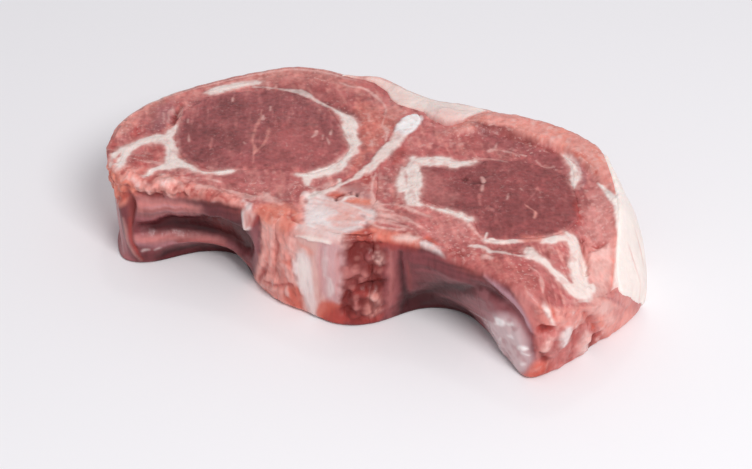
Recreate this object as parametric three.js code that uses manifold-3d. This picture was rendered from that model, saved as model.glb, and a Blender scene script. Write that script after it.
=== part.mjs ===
// A raw double lamb chop: one thick slice across the whole loin, so the backbone stands in
// the middle with an eye of lean on each side. It lies on one cut face and shows the other.
// Millimetres, +Z up. X runs across the animal from side to side, +Y points to its back.
import * as THREE from "three";
import { mergeVertices } from "three/addons/utils/BufferGeometryUtils.js";
import Module from "manifold-3d";

const wasm = await Module();
wasm.setup();

// Driving dimensions
const THICKNESS = 35; // from one cut face to the other
const GAP = 0.3; // clearance between neighbouring tissues
const TOP_RIM = 2.5; // rounding of the upper cut face's edge
const FOOT_RIM = 1.5; // rounding of the lower cut face's edge
const SLANT = 0.1; // the muscles run this much further back for each millimetre down

// Wall: heights are shares of the thickness
const LIP_FOOT = 0.78; // the wall hangs straight from the top down to here
const SHOULDER = { fromX: 56, toX: 70 }; // the back wall's right end is a round shoulder
const BELLY = 0.8; // outward swell at half height
const FULL_BAY = 12; // undercut at which the cut ribs stand out fully in a front bay
const RIB_RIDGE = { rise: 1.6, height: 0.15, spread: 0.09 };
const RIB_GROOVE = { rise: -1.6, height: 0.38, spread: 0.12 };
const MARROW_PIT = { rise: -2.2, height: 0.45, spread: 0.3, x: 5, reach: 5 };
const SKIN = { thick: 3, lift: 2, facing: [0.93, 0.37] }; // fat over the right-hand wall

// Upper face: what stands above its plane, or sinks below it
const EYE_SWELL = 0.9;
const EYE_DOMES = [
  { x: -44, y: 35, halfWidth: 31, halfDepth: 27 },
  { x: 42, y: 35, halfWidth: 30, halfDepth: 23 },
];
const OUTER_BAND = { rise: 2.4, x: 40, y: 36, halfWidth: 36, halfDepth: 33 };
const BACK_DIP = { rise: -3, x: -1, y: 82, halfWidth: 20, halfDepth: 9 };
const CREASE = { rise: -1.6, front: [84.5, 10.5], back: [76.8, 28], spread: 3.4 };
const DROOP = { rise: -13, fromX: 68, toX: 88.5, fromY: 46, toY: 18 }; // right flank sags
const TUCK = { fromX: 66, toX: 92.5, draw: 4 }; // and its upper edge draws in

// Table of offsets, as for a boat's hull. Each station is a line across the chop at one x:
// y of the upper face's front and back edge, then of the lower face's front and back edge.
// The front edge of the foot draws back into a bay under the ribs on each side of the bone.
const STATIONS = [
  [-92.5, 20, 20, 21, 21],
  [-90, 7.5, 33.5, 8, 35],
  [-84, -2, 45, -3.5, 47],
  [-76, -6, 56, -9, 57],
  [-66, -5.5, 67, -5.5, 67],
  [-54, -4, 77, 6, 77],
  [-42, -4, 80.7, 9.5, 80.5],
  [-31, -4.2, 81, 1, 81],
  [-20, -5.5, 82, -5.5, 82],
  [-8, -7.3, 80, -7, 80.5],
  [4, -6.8, 79, -8.8, 79],
  [15, -1, 81, -4, 81],
  [27, 1.5, 82.3, 10, 82],
  [39, 0, 82.6, 14, 82.5],
  [51, -2.5, 81, 9, 81.5],
  [62, -4.5, 76, -1, 79],
  [72, -5.5, 62, -6.5, 75],
  [80, -2.5, 51, 4, 69],
  [86, 4.5, 39, 19.5, 61],
  [90, 11, 28.5, 30, 52],
  [92.5, 18.5, 18.5, 43, 43],
];
const COLUMNS_PER_STATION = 3;
const TOP_ROWS = 16; // cells from front to back across the upper face
const FOOT_ROWS = 4; // and across the flat lower face
const WALL_HEIGHTS = [0, 0.012, 0.043, 0.15, 0.26, 0.38, 0.5, 0.64, 0.78, 0.88, 0.94, 0.98, 1];
const STEPS_PER_LANDMARK = 3; // outline points from one landmark to the next

// Tissues seen on the cut face, as landmarks [x, y] anticlockwise round each outline
const EYE_LEFT = [
  [-12.7, 38], [-19, 47.5], [-31, 58], [-49, 61.3], [-67, 51], [-75, 36],
  [-69, 18], [-57, 8.8], [-45, 10.5], [-30, 17.8], [-16, 23],
];
const EYE_RIGHT = [
  [12.9, 38.5], [18, 25], [28, 21.5], [39, 19.5], [48, 12.3], [58, 17.5],
  [67.5, 24], [71, 35], [65, 48.5], [57, 56.5], [41, 56.8], [27, 49], [20, 43.3],
];
const BACK_FAT = [
  [-36, 92], [-33, 80.4], [-20, 77.2], [-12, 72.5], [-6, 69.8], [3, 69],
  [8, 63.2], [14, 64], [17, 69], [14, 74], [20, 80], [24, 92],
];
const RIGHT_WALL = [[69, 60], [80, 40], [85, 28], [89, 14], [110, 8], [110, 60], [76, 76]];

// Backbone and fat seams, as [x, y, width] along a centreline
const BACKBONE = [
  [-2, -16, 38], [-2, 3, 33], [-2, 10, 25], [-1.6, 16, 18], [-1.2, 23, 12], [-1.2, 30, 6],
  [-1.2, 38, 4.8], [-1, 47, 5], [-0.6, 55, 7.6], [-0.6, 62, 9], [-0.8, 67, 4],
];
const SEAMS = {
  seam_left_inner: [
    [-29, 58.6, 1.2], [-20.5, 54, 4.6], [-14.5, 46, 3.6], [-11, 38, 3], [-11.2, 29, 3.4],
    [-15, 21.5, 3.8], [-22, 17.6, 1.2],
  ],
  seam_left_outer: [
    [-46, 8.6, 1.6], [-56, 7.2, 3], [-63, 10.2, 4.6], [-69.4, 16, 4.8], [-76, 17, 5],
    [-81, 11, 4.4], [-80.5, 3, 3.4], [-77, -1, 1.6],
  ],
  seam_left_upper: [[-74.5, 46.5, 1.4], [-69.5, 53, 4.4], [-63, 59, 3.6], [-57, 62.8, 1.2]],
  seam_right_inner: [
    [28, 51, 1.4], [19.5, 45.4, 5], [12.8, 42.4, 4.4], [10.8, 37.5, 4.4], [14, 30.5, 5],
    [17.4, 23.4, 4.2], [27, 20.6, 2.6], [38, 19.4, 1.6],
  ],
  seam_right_outer: [
    [69.4, 30, 1.2], [68.5, 23.5, 3], [73.6, 23.4, 3.6], [77.2, 18, 4.4], [84, 9, 3],
  ],
  seam_right_upper: [[53, 67.5, 1.2], [59, 63, 3], [63, 56.5, 3.4], [66.5, 48, 1.4]],
};

// Surface of the whole slice

// Eases from 0 to 1 as v passes from low to high.
function ease(low, high, v) {
  return THREE.MathUtils.smoothstep(v, low, high);
}

// Bell curve: 1 at v = 0, falling to about a third at v = 1.
function hump(v) {
  return Math.exp(-(v ** 2));
}

// Distance from the middle of an oval, as a share of its half width and half depth.
function ovalDistance({ x, y, halfWidth, halfDepth }, px, py) {
  return Math.hypot((px - x) / halfWidth, (py - y) / halfDepth);
}

// Height of the upper face over its plane: swollen eyes, the raised outer muscle that curves
// round the right eye, the dip over the spine and the crease across the right flank.
function relief(x, y) {
  const [front, back] = [CREASE.front, CREASE.back];
  const along = THREE.MathUtils.clamp((y - front[1]) / (back[1] - front[1]), 0, 1);
  const creaseX = THREE.MathUtils.lerp(front[0], back[0], along);
  const creaseEnd = 1 - ease(back[1], back[1] + 7, y);
  let height = CREASE.rise * hump((x - creaseX) / CREASE.spread) * creaseEnd;
  for (const eye of EYE_DOMES) {
    height += EYE_SWELL * Math.max(0, 1 - ovalDistance(eye, x, y) ** 2);
  }
  const towardsTip = THREE.MathUtils.clamp((x - DROOP.fromX) / (DROOP.toX - DROOP.fromX), 0, 1);
  height += DROOP.rise * towardsTip ** 1.2 * (1 - ease(DROOP.toY, DROOP.fromY, y));
  const outside = ease(0.98, 1.12, ovalDistance(OUTER_BAND, x, y));
  height += OUTER_BAND.rise * outside * ease(10, 24, x) * ease(14, 28, y);
  return height + BACK_DIP.rise * hump(ovalDistance(BACK_DIP, x, y));
}

// Closed smooth loop through the stations: the front edge from left to right, then the back
// edge from right to left. The columns give the y of each, and draw is how far the loop's
// right end draws in, so the loop serves either face.
function edgeLoop(frontColumn, backColumn, draw) {
  const corner = (row, column) => {
    const inward = draw * ease(TUCK.fromX, TUCK.toX, row[0]);
    return new THREE.Vector3(row[0] - inward, row[column], 0);
  };
  const front = STATIONS.map((row) => corner(row, frontColumn));
  const back = STATIONS.slice(1, -1).map((row) => corner(row, backColumn));
  return new THREE.CatmullRomCurve3([...front, ...back.reverse()], true, "catmullrom", 0.5);
}

const topLoop = edgeLoop(1, 2, TUCK.draw);
const footLoop = edgeLoop(3, 4, 0);

// Direction of the loop at t, the same on both sides of its start.
function heading(loop, t) {
  const step = 1e-3;
  const ahead = loop.getPoint((t + step) % 1);
  const behind = loop.getPoint((t + 1 - step) % 1);
  return ahead.sub(behind).normalize();
}

// How far the wall draws in at height z where it rounds over into a cut face.
function rimInset(z, height) {
  const radius = z > height / 2 ? TOP_RIM : FOOT_RIM;
  const depth = Math.max(0, radius - Math.min(z, height - z));
  return radius - Math.sqrt(radius ** 2 - depth ** 2);
}

// Rise of a feature that runs along the wall, at height h.
function alongWall({ rise, height, spread }, h) {
  return rise * hump((h - height) / spread);
}

// Share of the way from the lower edge to the upper one at height h: straight to the lip and
// then upright, or, as round goes to 1, a quarter of an oval.
function leanIn(h, round) {
  const straight = Math.min(1, h / LIP_FOOT);
  const oval = 1 - Math.sqrt(1 - h ** 2);
  return THREE.MathUtils.lerp(straight, oval, round);
}

// A point of the outer wall: t runs once round the loop, h from the lower face to the upper.
function wallPoint(t, h) {
  const top = topLoop.getPoint(t);
  const foot = footLoop.getPoint(t);
  const tangent = heading(topLoop, t);
  const facing = Math.max(0, tangent.x); // 1 on the front, 0 on the back
  const round = (1 - facing) * ease(SHOULDER.fromX, SHOULDER.toX, top.x);
  const undercut = THREE.MathUtils.clamp((foot.y - top.y) / FULL_BAY, 0, 1);
  const ribs = alongWall(RIB_RIDGE, h) + alongWall(RIB_GROOVE, h);
  const marrow = alongWall(MARROW_PIT, h) * hump((top.x - MARROW_PIT.x) / MARROW_PIT.reach);
  const height = THICKNESS + relief(top.x, top.y);
  const outward =
    BELLY * Math.sin(Math.PI * h) +
    facing * (undercut * ease(0, 0.1, h) * ribs + marrow) -
    (1 - round) * rimInset(h * height, height);
  const point = foot.clone().lerp(top, leanIn(h, round));
  point.x += tangent.y * outward;
  point.y -= tangent.x * outward;
  point.z = h * height;
  return point;
}

// One closed section at column u, from 0 at the left end to 1 at the right end: up the front
// wall, back over the upper face, down the back wall and forward again along the flat foot.
function section(u) {
  const front = u / 2;
  const back = 1 - u / 2;
  const frontRim = wallPoint(front, 1);
  const backRim = wallPoint(back, 1);
  const loop = WALL_HEIGHTS.map((h) => wallPoint(front, h));
  for (let row = 1; row < TOP_ROWS; row++) {
    const point = frontRim.clone().lerp(backRim, row / TOP_ROWS);
    point.z = THICKNESS + relief(point.x, point.y);
    loop.push(point);
  }
  loop.push(...WALL_HEIGHTS.map((h) => wallPoint(back, h)).reverse());
  const backFoot = loop.at(-1);
  for (let row = 1; row < FOOT_ROWS; row++) {
    loop.push(backFoot.clone().lerp(loop[0], row / FOOT_ROWS));
  }
  return loop;
}

// Solids and meshes

// A closed geometry as a solid for cutting: vertices merged, collapsed triangles dropped.
function toSolid(geometry) {
  const bare = geometry.index ? geometry.toNonIndexed() : geometry.clone();
  bare.deleteAttribute("normal");
  bare.deleteAttribute("uv");
  const merged = mergeVertices(bare, 1e-4);
  const triangles = [];
  for (let i = 0; i < merged.index.count; i += 3) {
    const [a, b, c] = merged.index.array.slice(i, i + 3);
    if (a !== b && b !== c && c !== a) triangles.push(a, b, c);
  }
  const mesh = new wasm.Mesh({
    numProp: 3,
    vertProperties: merged.attributes.position.array,
    triVerts: new Uint32Array(triangles),
  });
  return new wasm.Manifold(mesh);
}

// The whole slice: sections from end to end, covered with triangles.
function sliceGeometry() {
  const columns = (STATIONS.length - 1) * COLUMNS_PER_STATION;
  const sections = Array.from({ length: columns + 1 }, (_, i) => section(i / columns));
  const around = sections[0].length;
  const positions = sections.flat().flatMap((p) => [p.x, p.y, p.z]);
  const index = [];
  for (let i = 0; i < columns; i++) {
    for (let j = 0; j < around; j++) {
      const a = i * around + j;
      const b = i * around + ((j + 1) % around);
      index.push(a, a + around, b, b, a + around, b + around);
    }
  }
  const geometry = new THREE.BufferGeometry();
  geometry.setAttribute("position", new THREE.Float32BufferAttribute(positions, 3));
  geometry.setIndex(index);
  return geometry;
}

// A plug that passes right through the slice. Its outline is given at the upper face, and
// slant moves it towards the back on its way down.
function plug(outline, slant) {
  const ends = 10; // how far it reaches past each cut face
  const depth = THICKNESS + 2 * ends;
  const shape = new THREE.Shape(outline);
  const geometry = new THREE.ExtrudeGeometry(shape, { depth, bevelEnabled: false });
  geometry.translate(0, 0, -ends - THICKNESS);
  geometry.applyMatrix4(new THREE.Matrix4().makeShear(0, 0, 0, 0, 0, -slant));
  geometry.translate(0, 0, THICKNESS);
  return toSolid(geometry);
}

// Smooth closed outline through landmarks listed anticlockwise, moved outward by grow.
function blob(landmarks, grow) {
  const corners = landmarks.map(([x, y]) => new THREE.Vector3(x, y, 0));
  const curve = new THREE.CatmullRomCurve3(corners, true, "catmullrom", 0.5);
  const steps = STEPS_PER_LANDMARK * landmarks.length;
  return Array.from({ length: steps }, (_, i) => {
    const point = curve.getPoint(i / steps);
    const tangent = curve.getTangent(i / steps);
    return new THREE.Vector2(point.x + tangent.y * grow, point.y - tangent.x * grow);
  });
}

// Band of changing width along a centreline, widened and lengthened by grow on every side.
function band(centreline, grow) {
  const spine = centreline.map(([x, y, width]) => new THREE.Vector3(x, y, width));
  const curve = new THREE.CatmullRomCurve3(spine, false, "catmullrom", 0.5);
  const steps = STEPS_PER_LANDMARK * (centreline.length - 1);
  const left = [];
  const right = [];
  for (let i = 0; i <= steps; i++) {
    const point = curve.getPoint(i / steps);
    const { x, y } = curve.getTangent(i / steps);
    const along = new THREE.Vector2(x, y).normalize();
    const across = new THREE.Vector2(-along.y, along.x).multiplyScalar(point.z / 2 + grow);
    const past = i === 0 ? -grow : i === steps ? grow : 0;
    const middle = new THREE.Vector2(point.x, point.y).addScaledVector(along, past);
    left.push(middle.clone().add(across));
    right.push(middle.clone().sub(across));
  }
  return [...right, ...left.reverse()];
}

// The tissues

const COLOURS = {
  lean: 0xb8706e,
  eye: 0x9c5c5d,
  fat: 0xeedad6,
  seam: 0xe4cbc8,
  backbone: 0xdcb4b0,
};
const group = new THREE.Group();

// Adds one tissue to the group, with the colour of its kind.
function addTissue(name, solid) {
  const { numProp, vertProperties, triVerts } = solid.getMesh();
  const geometry = new THREE.BufferGeometry();
  geometry.setAttribute("position", new THREE.BufferAttribute(vertProperties, numProp));
  geometry.setIndex(new THREE.BufferAttribute(triVerts, 1));
  geometry.computeVertexNormals();
  const color = COLOURS[name.split("_")[0]];
  const material = new THREE.MeshStandardMaterial({ color, roughness: 0.4, metalness: 0 });
  const mesh = new THREE.Mesh(geometry, material);
  mesh.name = name;
  group.add(mesh);
}

// Plugs that cut the slice into tissues, each wider than its tissue by grow.
const plugs = {
  backbone: (grow) => plug(band(BACKBONE, grow), 0),
  eye_left: (grow) => plug(blob(EYE_LEFT, grow), SLANT),
  eye_right: (grow) => plug(blob(EYE_RIGHT, grow), SLANT),
  fat_back: (grow) => plug(blob(BACK_FAT, grow), 0),
};
for (const [name, centreline] of Object.entries(SEAMS)) {
  plugs[name] = (grow) => plug(band(centreline, grow), SLANT);
}

// Each tissue takes its share of what the ones before it leave, a gap away from them.
const wholeSlice = sliceGeometry();
let rest = toSolid(wholeSlice);
for (const [name, plugOf] of Object.entries(plugs)) {
  addTissue(name, rest.intersect(plugOf(0)));
  rest = rest.subtract(plugOf(GAP));
}

// Fat over the right-hand wall: what the slice leaves bare when it moves away from that wall.
// The moved slice is joined to a raised and a lowered copy, so that only its side counts.
function drawnInward(distance) {
  const [x, y] = SKIN.facing;
  const moved = wholeSlice.clone().translate(-x * distance, -y * distance, 0);
  let solid = toSolid(moved);
  for (const lift of [-SKIN.lift, SKIN.lift]) {
    solid = solid.add(toSolid(moved.clone().translate(0, 0, lift)));
  }
  return solid;
}
const wallZone = plug(blob(RIGHT_WALL, 0), 0);
addTissue("fat_right", rest.intersect(wallZone).subtract(drawnInward(SKIN.thick)));
addTissue("lean", rest.subtract(wallZone.subtract(drawnInward(SKIN.thick + GAP))));

// The frame's origin is under the middle of the slice, on the surface that it lies on.
const box = new THREE.Box3().setFromObject(group);
const middle = box.getCenter(new THREE.Vector3());
group.position.set(-middle.x, -middle.y, -box.min.z);

export default group;
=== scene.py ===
# %% [markdown]
# A raw double lamb chop is one thick slice across the whole loin. The backbone stands in the
# middle, an eye of dark lean lies on each side, and paler muscle and fat surround them.
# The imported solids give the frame: every piece made here stands for one of them, in metres.

# %% Load the frame
import bpy
import bmesh
import numpy as np
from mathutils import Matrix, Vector


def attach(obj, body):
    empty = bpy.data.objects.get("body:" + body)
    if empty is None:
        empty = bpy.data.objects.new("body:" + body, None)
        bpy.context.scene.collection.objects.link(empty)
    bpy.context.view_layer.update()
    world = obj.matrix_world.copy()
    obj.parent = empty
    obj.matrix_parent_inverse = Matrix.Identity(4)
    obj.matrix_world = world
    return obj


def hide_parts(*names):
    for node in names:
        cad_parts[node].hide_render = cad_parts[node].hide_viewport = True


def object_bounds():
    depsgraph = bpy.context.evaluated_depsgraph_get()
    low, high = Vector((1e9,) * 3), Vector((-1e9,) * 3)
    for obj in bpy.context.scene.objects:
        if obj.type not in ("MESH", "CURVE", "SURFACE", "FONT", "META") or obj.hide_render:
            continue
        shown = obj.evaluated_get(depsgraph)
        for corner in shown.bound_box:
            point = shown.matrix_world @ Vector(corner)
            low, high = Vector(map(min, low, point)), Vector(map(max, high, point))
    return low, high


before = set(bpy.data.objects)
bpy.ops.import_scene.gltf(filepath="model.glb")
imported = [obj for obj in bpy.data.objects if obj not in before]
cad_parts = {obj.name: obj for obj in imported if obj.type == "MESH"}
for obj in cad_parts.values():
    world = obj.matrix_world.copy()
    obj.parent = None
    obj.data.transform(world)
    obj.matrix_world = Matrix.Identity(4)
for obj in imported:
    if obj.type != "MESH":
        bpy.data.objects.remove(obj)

cad_box = [list(corner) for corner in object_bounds()]
print("frame:", sorted(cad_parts), "box in m:", cad_box)

# %% [markdown]
# Meat has no straight lines, so everything below is worked out on a flat map of the cut face in
# millimetres: x from side to side, y towards the animal's back, z up. Three small tools do most
# of the work: an ease from 0 to 1, a bell curve, and smooth curves through a few landmarks.

# %% Map, eases and smooth curves
ORIGIN = np.array([0.177, -37.230, 0.0])  # where the map's zero lies in the frame, mm
THICKNESS = 35.0  # of the slice, before its muscles swell and sag, mm


def to_frame(points):
    """Map millimetres to frame metres, kept inside the solids' box."""
    metres = (points + ORIGIN) / 1000
    return np.clip(metres, cad_box[0], cad_box[1])


def ease(low, high, v):
    """0 below low, 1 above high, and a smooth S between them."""
    t = np.clip((v - low) / (high - low), 0, 1)
    return t * t * (3 - 2 * t)


def hump(v):
    """Bell curve: 1 at zero, about a third at one."""
    return np.exp(-np.square(v))


def mix(a, b, share):
    """Straight blend from a to b."""
    return a + (b - a) * share


def curve(landmarks, t, closed=False):
    """Catmull-Rom curve: each span is a cubic whose slope at a landmark is half the step between
    its two neighbours. t runs from 0 to 1; an open curve's ends are mirrored."""
    p = np.asarray(landmarks, float)
    n = len(p)
    if closed:
        s = (np.asarray(t) % 1) * n
        i = np.floor(s).astype(int) % n
        a, b, c, d = p[(i - 1) % n], p[i], p[(i + 1) % n], p[(i + 2) % n]
    else:
        p = np.vstack([2 * p[0] - p[1], p, 2 * p[-1] - p[-2]])
        s = np.clip(t, 0, 1) * (n - 1)
        i = np.minimum(np.floor(s).astype(int), n - 2)
        a, b, c, d = p[i], p[i + 1], p[i + 2], p[i + 3]
    f = (s - np.floor(s) if closed else s - i)[..., None]
    return 0.5 * (2 * b + (c - a) * f + (2 * a - 5 * b + 4 * c - d) * f**2
                  + (3 * b - a - 3 * c + d) * f**3)


print("middle of a bent curve:", curve([[0, 0], [1, 1], [2, 0]], np.array([0.5])))

# %% [markdown]
# Raw flesh is uneven at every scale. Blender's texture nodes can not move real vertices in a way
# that exports, so the unevenness is worked out with numpy: smooth noise for swells and ragged
# edges, and scattered cells for the grainy muscle that runs round the outside of the chop. Each
# use has its own seed, a whole number that only picks one pattern out of many.

# %% Repeatable unevenness
def scattered(cells, seed):
    """Random numbers from 0 to 1, the same in every run: the bits of whole-number cells, mixed
    by products with large odd numbers."""
    n = cells.astype(np.int64)
    h = n[..., 0] * 374761393 + n[..., 1] * 668265263 + n[..., 2] * 2246822519 + seed * 3266489917
    h = ((h ^ (h >> 13)) * 1274126177) & 0xFFFFFFFF
    h = ((h ^ (h >> 16)) * 2654435769) & 0xFFFFFFFF
    return (h ^ (h >> 15)) / 2**32


TURN = np.array([[0, 0.8, 0.6], [-0.8, 0.36, -0.48], [-0.6, -0.48, 0.64]])  # an oblique rotation
OCTAVE_SHIFT = 17.3  # cells by which each octave is moved


def uneven(points, size, seed, octaves=3):
    """Smooth noise from -1 to 1: random values at the corners of cells of this size in mm,
    blended by eases, plus octaves at half the size and half the height. Each octave is turned,
    so that its cells line up with nothing."""
    total, height, reach = 0.0, 1.0, 0.0
    turned = points
    for octave in range(octaves):
        turned = turned @ TURN
        q = turned / size * 2**octave + OCTAVE_SHIFT * octave
        cell = np.floor(q)
        f = q - cell
        f = f**3 * (f * (6 * f - 15) + 10)
        value = 0.0
        for corner in np.ndindex(2, 2, 2):
            weight = np.prod(np.where(np.array(corner, bool), f, 1 - f), axis=-1)
            value = value + weight * scattered(cell + np.array(corner), seed + octave)
        total = total + height * (2 * value - 1)
        reach += height
        height /= 2
    return total / reach


def grains(points, size, seed):
    """Distance to the nearest of the seeds scattered one to a cell, in cell sizes."""
    q = points / size
    cell = np.floor(q)
    nearest = np.full(q.shape[:-1], 9.0)
    for step in np.ndindex(3, 3, 3):
        corner = cell + np.array(step) - 1
        spot = corner + np.stack([scattered(corner, seed + k) for k in range(3)], -1)
        nearest = np.minimum(nearest, np.sum((q - spot) ** 2, axis=-1))
    return np.sqrt(nearest)


def flat(x, y):
    """Points of the map's plane, for noise."""
    x, y = np.broadcast_arrays(x, y)
    return np.stack([x, y, np.zeros(x.shape)], -1)


print("noise sample:", uneven(np.array([[1.0, 2.0, 3.0]]), 4.0, 1))

# %% [markdown]
# Fat seams, veins and muscle borders are drawn like brush strokes on a map: a band is a smooth
# centreline with a width at each landmark, an area is a smooth closed outline. What a vertex
# needs to know is how deep inside a stroke it lies.

# %% How deep a point lies in a band or an area
FAR = 8.0  # mm; a point further than this outside a stroke counts as this far
PIECES = 6  # straight pieces of a smooth path from one landmark to the next


def near_box(x, y, path, reach):
    """Which points lie within reach of the box round a path."""
    low, high = path[:, :2].min(axis=0) - reach, path[:, :2].max(axis=0) + reach
    return (x > low[0]) & (x < high[0]) & (y > low[1]) & (y < high[1])


def away_from(x, y, start, end):
    """Share along a straight piece of path nearest to each point, and the distance to it."""
    step = end[:2] - start[:2]
    along = np.clip(((x - start[0]) * step[0] + (y - start[1]) * step[1]) / (step @ step), 0, 1)
    return along, np.hypot(x - start[0] - along * step[0], y - start[1] - along * step[1])


def band_depth(x, y, landmarks):
    """Half the band's width less the distance to its centreline, in mm: above 0 inside."""
    spine = curve(landmarks, np.linspace(0, 1, PIECES * (len(landmarks) - 1) + 1))
    near = near_box(x, y, spine, FAR)
    best = np.full(np.count_nonzero(near), -FAR)
    for start, end in zip(spine[:-1], spine[1:]):
        along, away = away_from(x[near], y[near], start, end)
        best = np.maximum(best, mix(start[2], end[2], along) / 2 - away)
    depth = np.full(x.shape, -FAR)
    depth[near] = best
    return depth


def area_depth(x, y, landmarks):
    """Distance to a closed smooth outline, in mm: above 0 inside and below 0 outside."""
    count = PIECES * len(landmarks)
    ring = curve(landmarks, np.arange(count) / count, closed=True)
    near = near_box(x, y, ring, FAR)
    px, py = x[near], y[near]
    closest = np.full(px.shape, FAR)
    inside = np.zeros(px.shape, bool)
    for start, end in zip(ring, np.roll(ring, -1, axis=0)):
        closest = np.minimum(closest, away_from(px, py, start, end)[1])
        if end[1] != start[1]:
            crossing = start[0] + (py - start[1]) * (end[0] - start[0]) / (end[1] - start[1])
            inside ^= ((start[1] > py) != (end[1] > py)) & (px < crossing)
    depth = np.full(x.shape, -FAR)
    depth[near] = np.where(inside, closest, -closest)
    return depth


def stroke(x, y, landmarks, soft, ragged):
    """Share of a stroke at each point: 1 inside, 0 outside, and an uneven edge soft mm wide."""
    is_band = len(landmarks[0]) == 3
    depth = band_depth(x, y, landmarks) if is_band else area_depth(x, y, landmarks)
    return ease(-soft, soft, depth + soft * ragged)


SQUARE = [[-1, -1], [1, -1], [1, 1], [-1, 1]]
print("depth in the middle of a rounded square:", area_depth(np.zeros(1), np.zeros(1), SQUARE))

# %% [markdown]
# The slice is drawn like a boat's hull, from a table of offsets. Each station is a line across
# the chop: the y of the upper face's front and back edge, then of the lower face's. The front
# edge of the foot draws back into a hollow on each side of the backbone, where the body's cavity
# was. The two eyes are closed outlines, and the backbone is a band, with a width at each place.

# %% Stations and features of the whole slice
STATIONS = np.array([
    [-92.5, 20, 20, 21, 21], [-90, 7.5, 33.5, 8, 35], [-84, -2, 45, -3.5, 47],
    [-76, -6, 56, -9, 57], [-66, -5.5, 67, -5.5, 67], [-54, -4, 77, 6, 77],
    [-42, -4, 80.7, 9.5, 80.5], [-31, -4.2, 81, 1, 81], [-20, -5.5, 82, -5.5, 82],
    [-8, -7.3, 80, -7, 80.5], [4, -6.8, 79, -8.8, 79], [15, -1, 81, -4, 81],
    [27, 1.5, 82.3, 10, 82], [39, 0, 82.6, 14, 82.5], [51, -2.5, 81, 9, 81.5],
    [62, -4.5, 76, -1, 79], [72, -5.5, 62, -6.5, 75], [80, -2.5, 51, 4, 69],
    [86, 4.5, 39, 19.5, 61], [90, 11, 28.5, 30, 52], [92.5, 18.5, 18.5, 43, 43],
])
TUCK = 4.0  # how far the right end of the upper face draws in, mm
FOOT_TUCK = 2.2  # how far the left end of the lower face draws in, mm
LIP_FOOT = 0.78  # the wall hangs straight from the top down to this share of the height
BELLY = 0.8  # how far the wall swells at half its height, mm
TOP_RIM, FOOT_RIM = 2.5, 1.5  # radius of the rounding at the upper and lower rim, mm
EYE_LEFT = [
    [-12.7, 38], [-19, 47.5], [-31, 58], [-49, 61.3], [-67, 51], [-75, 36],
    [-69, 18], [-57, 8.8], [-45, 10.5], [-30, 17.8], [-16, 23],
]
EYE_RIGHT = [
    [12.9, 38.5], [18, 25], [28, 21.5], [39, 19.5], [48, 12.3], [58, 17.5],
    [67.5, 24], [71, 35], [65, 48.5], [57, 56.5], [41, 56.8], [27, 49], [20, 43.3],
]
BONE_MIDDLE = -2.0  # x
BACKBONE = [
    [-2, -16, 38], [-2, 3, 33], [-2, 10, 25], [-1.6, 16, 18], [-1.2, 23, 12], [-1.2, 30, 6],
    [-1.2, 38, 4.8], [-1, 47, 5], [-0.6, 55, 7.6], [-0.6, 62, 9], [-0.8, 67, 4],
]


def rim_loop(front, back, right, left):
    """Closed ring of landmarks: the front edge from left to right, then the back edge home. front
    and back are columns of the stations; right and left say how far each end draws in."""
    x = STATIONS[:, 0]
    x = x - right * ease(66, 92.5, x) + left * ease(-66, -92.5, x)
    ahead = np.stack([x, STATIONS[:, front]], -1)
    home = np.stack([x, STATIONS[:, back]], -1)[-2:0:-1]
    return np.vstack([ahead, home])


TOP_LOOP = rim_loop(1, 2, TUCK, 0)
FOOT_LOOP = rim_loop(3, 4, 0, FOOT_TUCK)
print("stations:", len(STATIONS), "ring landmarks:", len(TOP_LOOP))

# %% [markdown]
# The colours of a chop come from few tissues: muscle in shades from maroon to rose, waxy fat,
# chalky bone and cartilage, the dull film in the hollows, and blood in the cracks. Two colours
# are painted light: a near-black red for painted shade in recesses, and a near-white for painted
# glints. They are given once as sRGB hex values and turned to linear light, which is what a
# renderer works with.

# %% Tissue colours
def linear(hex_colour):
    """sRGB hex to linear light, with alpha 1: the standard curve of a 2.4 power and a toe."""
    s = np.array([int(hex_colour[k:k + 2], 16) for k in (1, 3, 5)]) / 255
    return (*np.where(s <= 0.04045, s / 12.92, ((s + 0.055) / 1.055) ** 2.4), 1.0)


TISSUE = {name: np.array(linear(colour)[:3]) for name, colour in {
    "lean": "#b5615f", "brown": "#99524f", "maroon": "#985152", "deep": "#7d3f40",
    "pink": "#cb7f7a", "rosy": "#dd9389", "salmon": "#e79a8f", "orange": "#df806c",
    "ember": "#c75a48", "red": "#a83f39", "wine": "#8f4543", "gore": "#742724", "black": "#3f0b0d",
    "fat": "#ecd9d2", "cream": "#f4e6df", "blush": "#e2b0a8", "chalk": "#e6d3d0",
    # Painted light: the near-black red at the end of the next line is painted shade, and the near-white at
    # the end of the line after it is a painted highlight for glints.
    "ice": "#efe9e8", "film": "#793b3f", "haze": "#a46468", "painted_shade": "#3e1014",
    "lilac": "#bd9099", "glint": "#fbf1ef",
}.items()}
print("tissues:", ", ".join(TISSUE))

# %% [markdown]
# Now the strokes of the cut face, in map millimetres. Each one names its tissue and gives the
# strength of its colour, the softness of its edge in mm and how many mm it stands above the
# meat. Landmarks with two numbers are an area's outline; with three they are a band's middle
# and width. The fat seams come first because they are pieces of their own as well; their
# ribbons follow the same lines, so colour and form agree.

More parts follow.
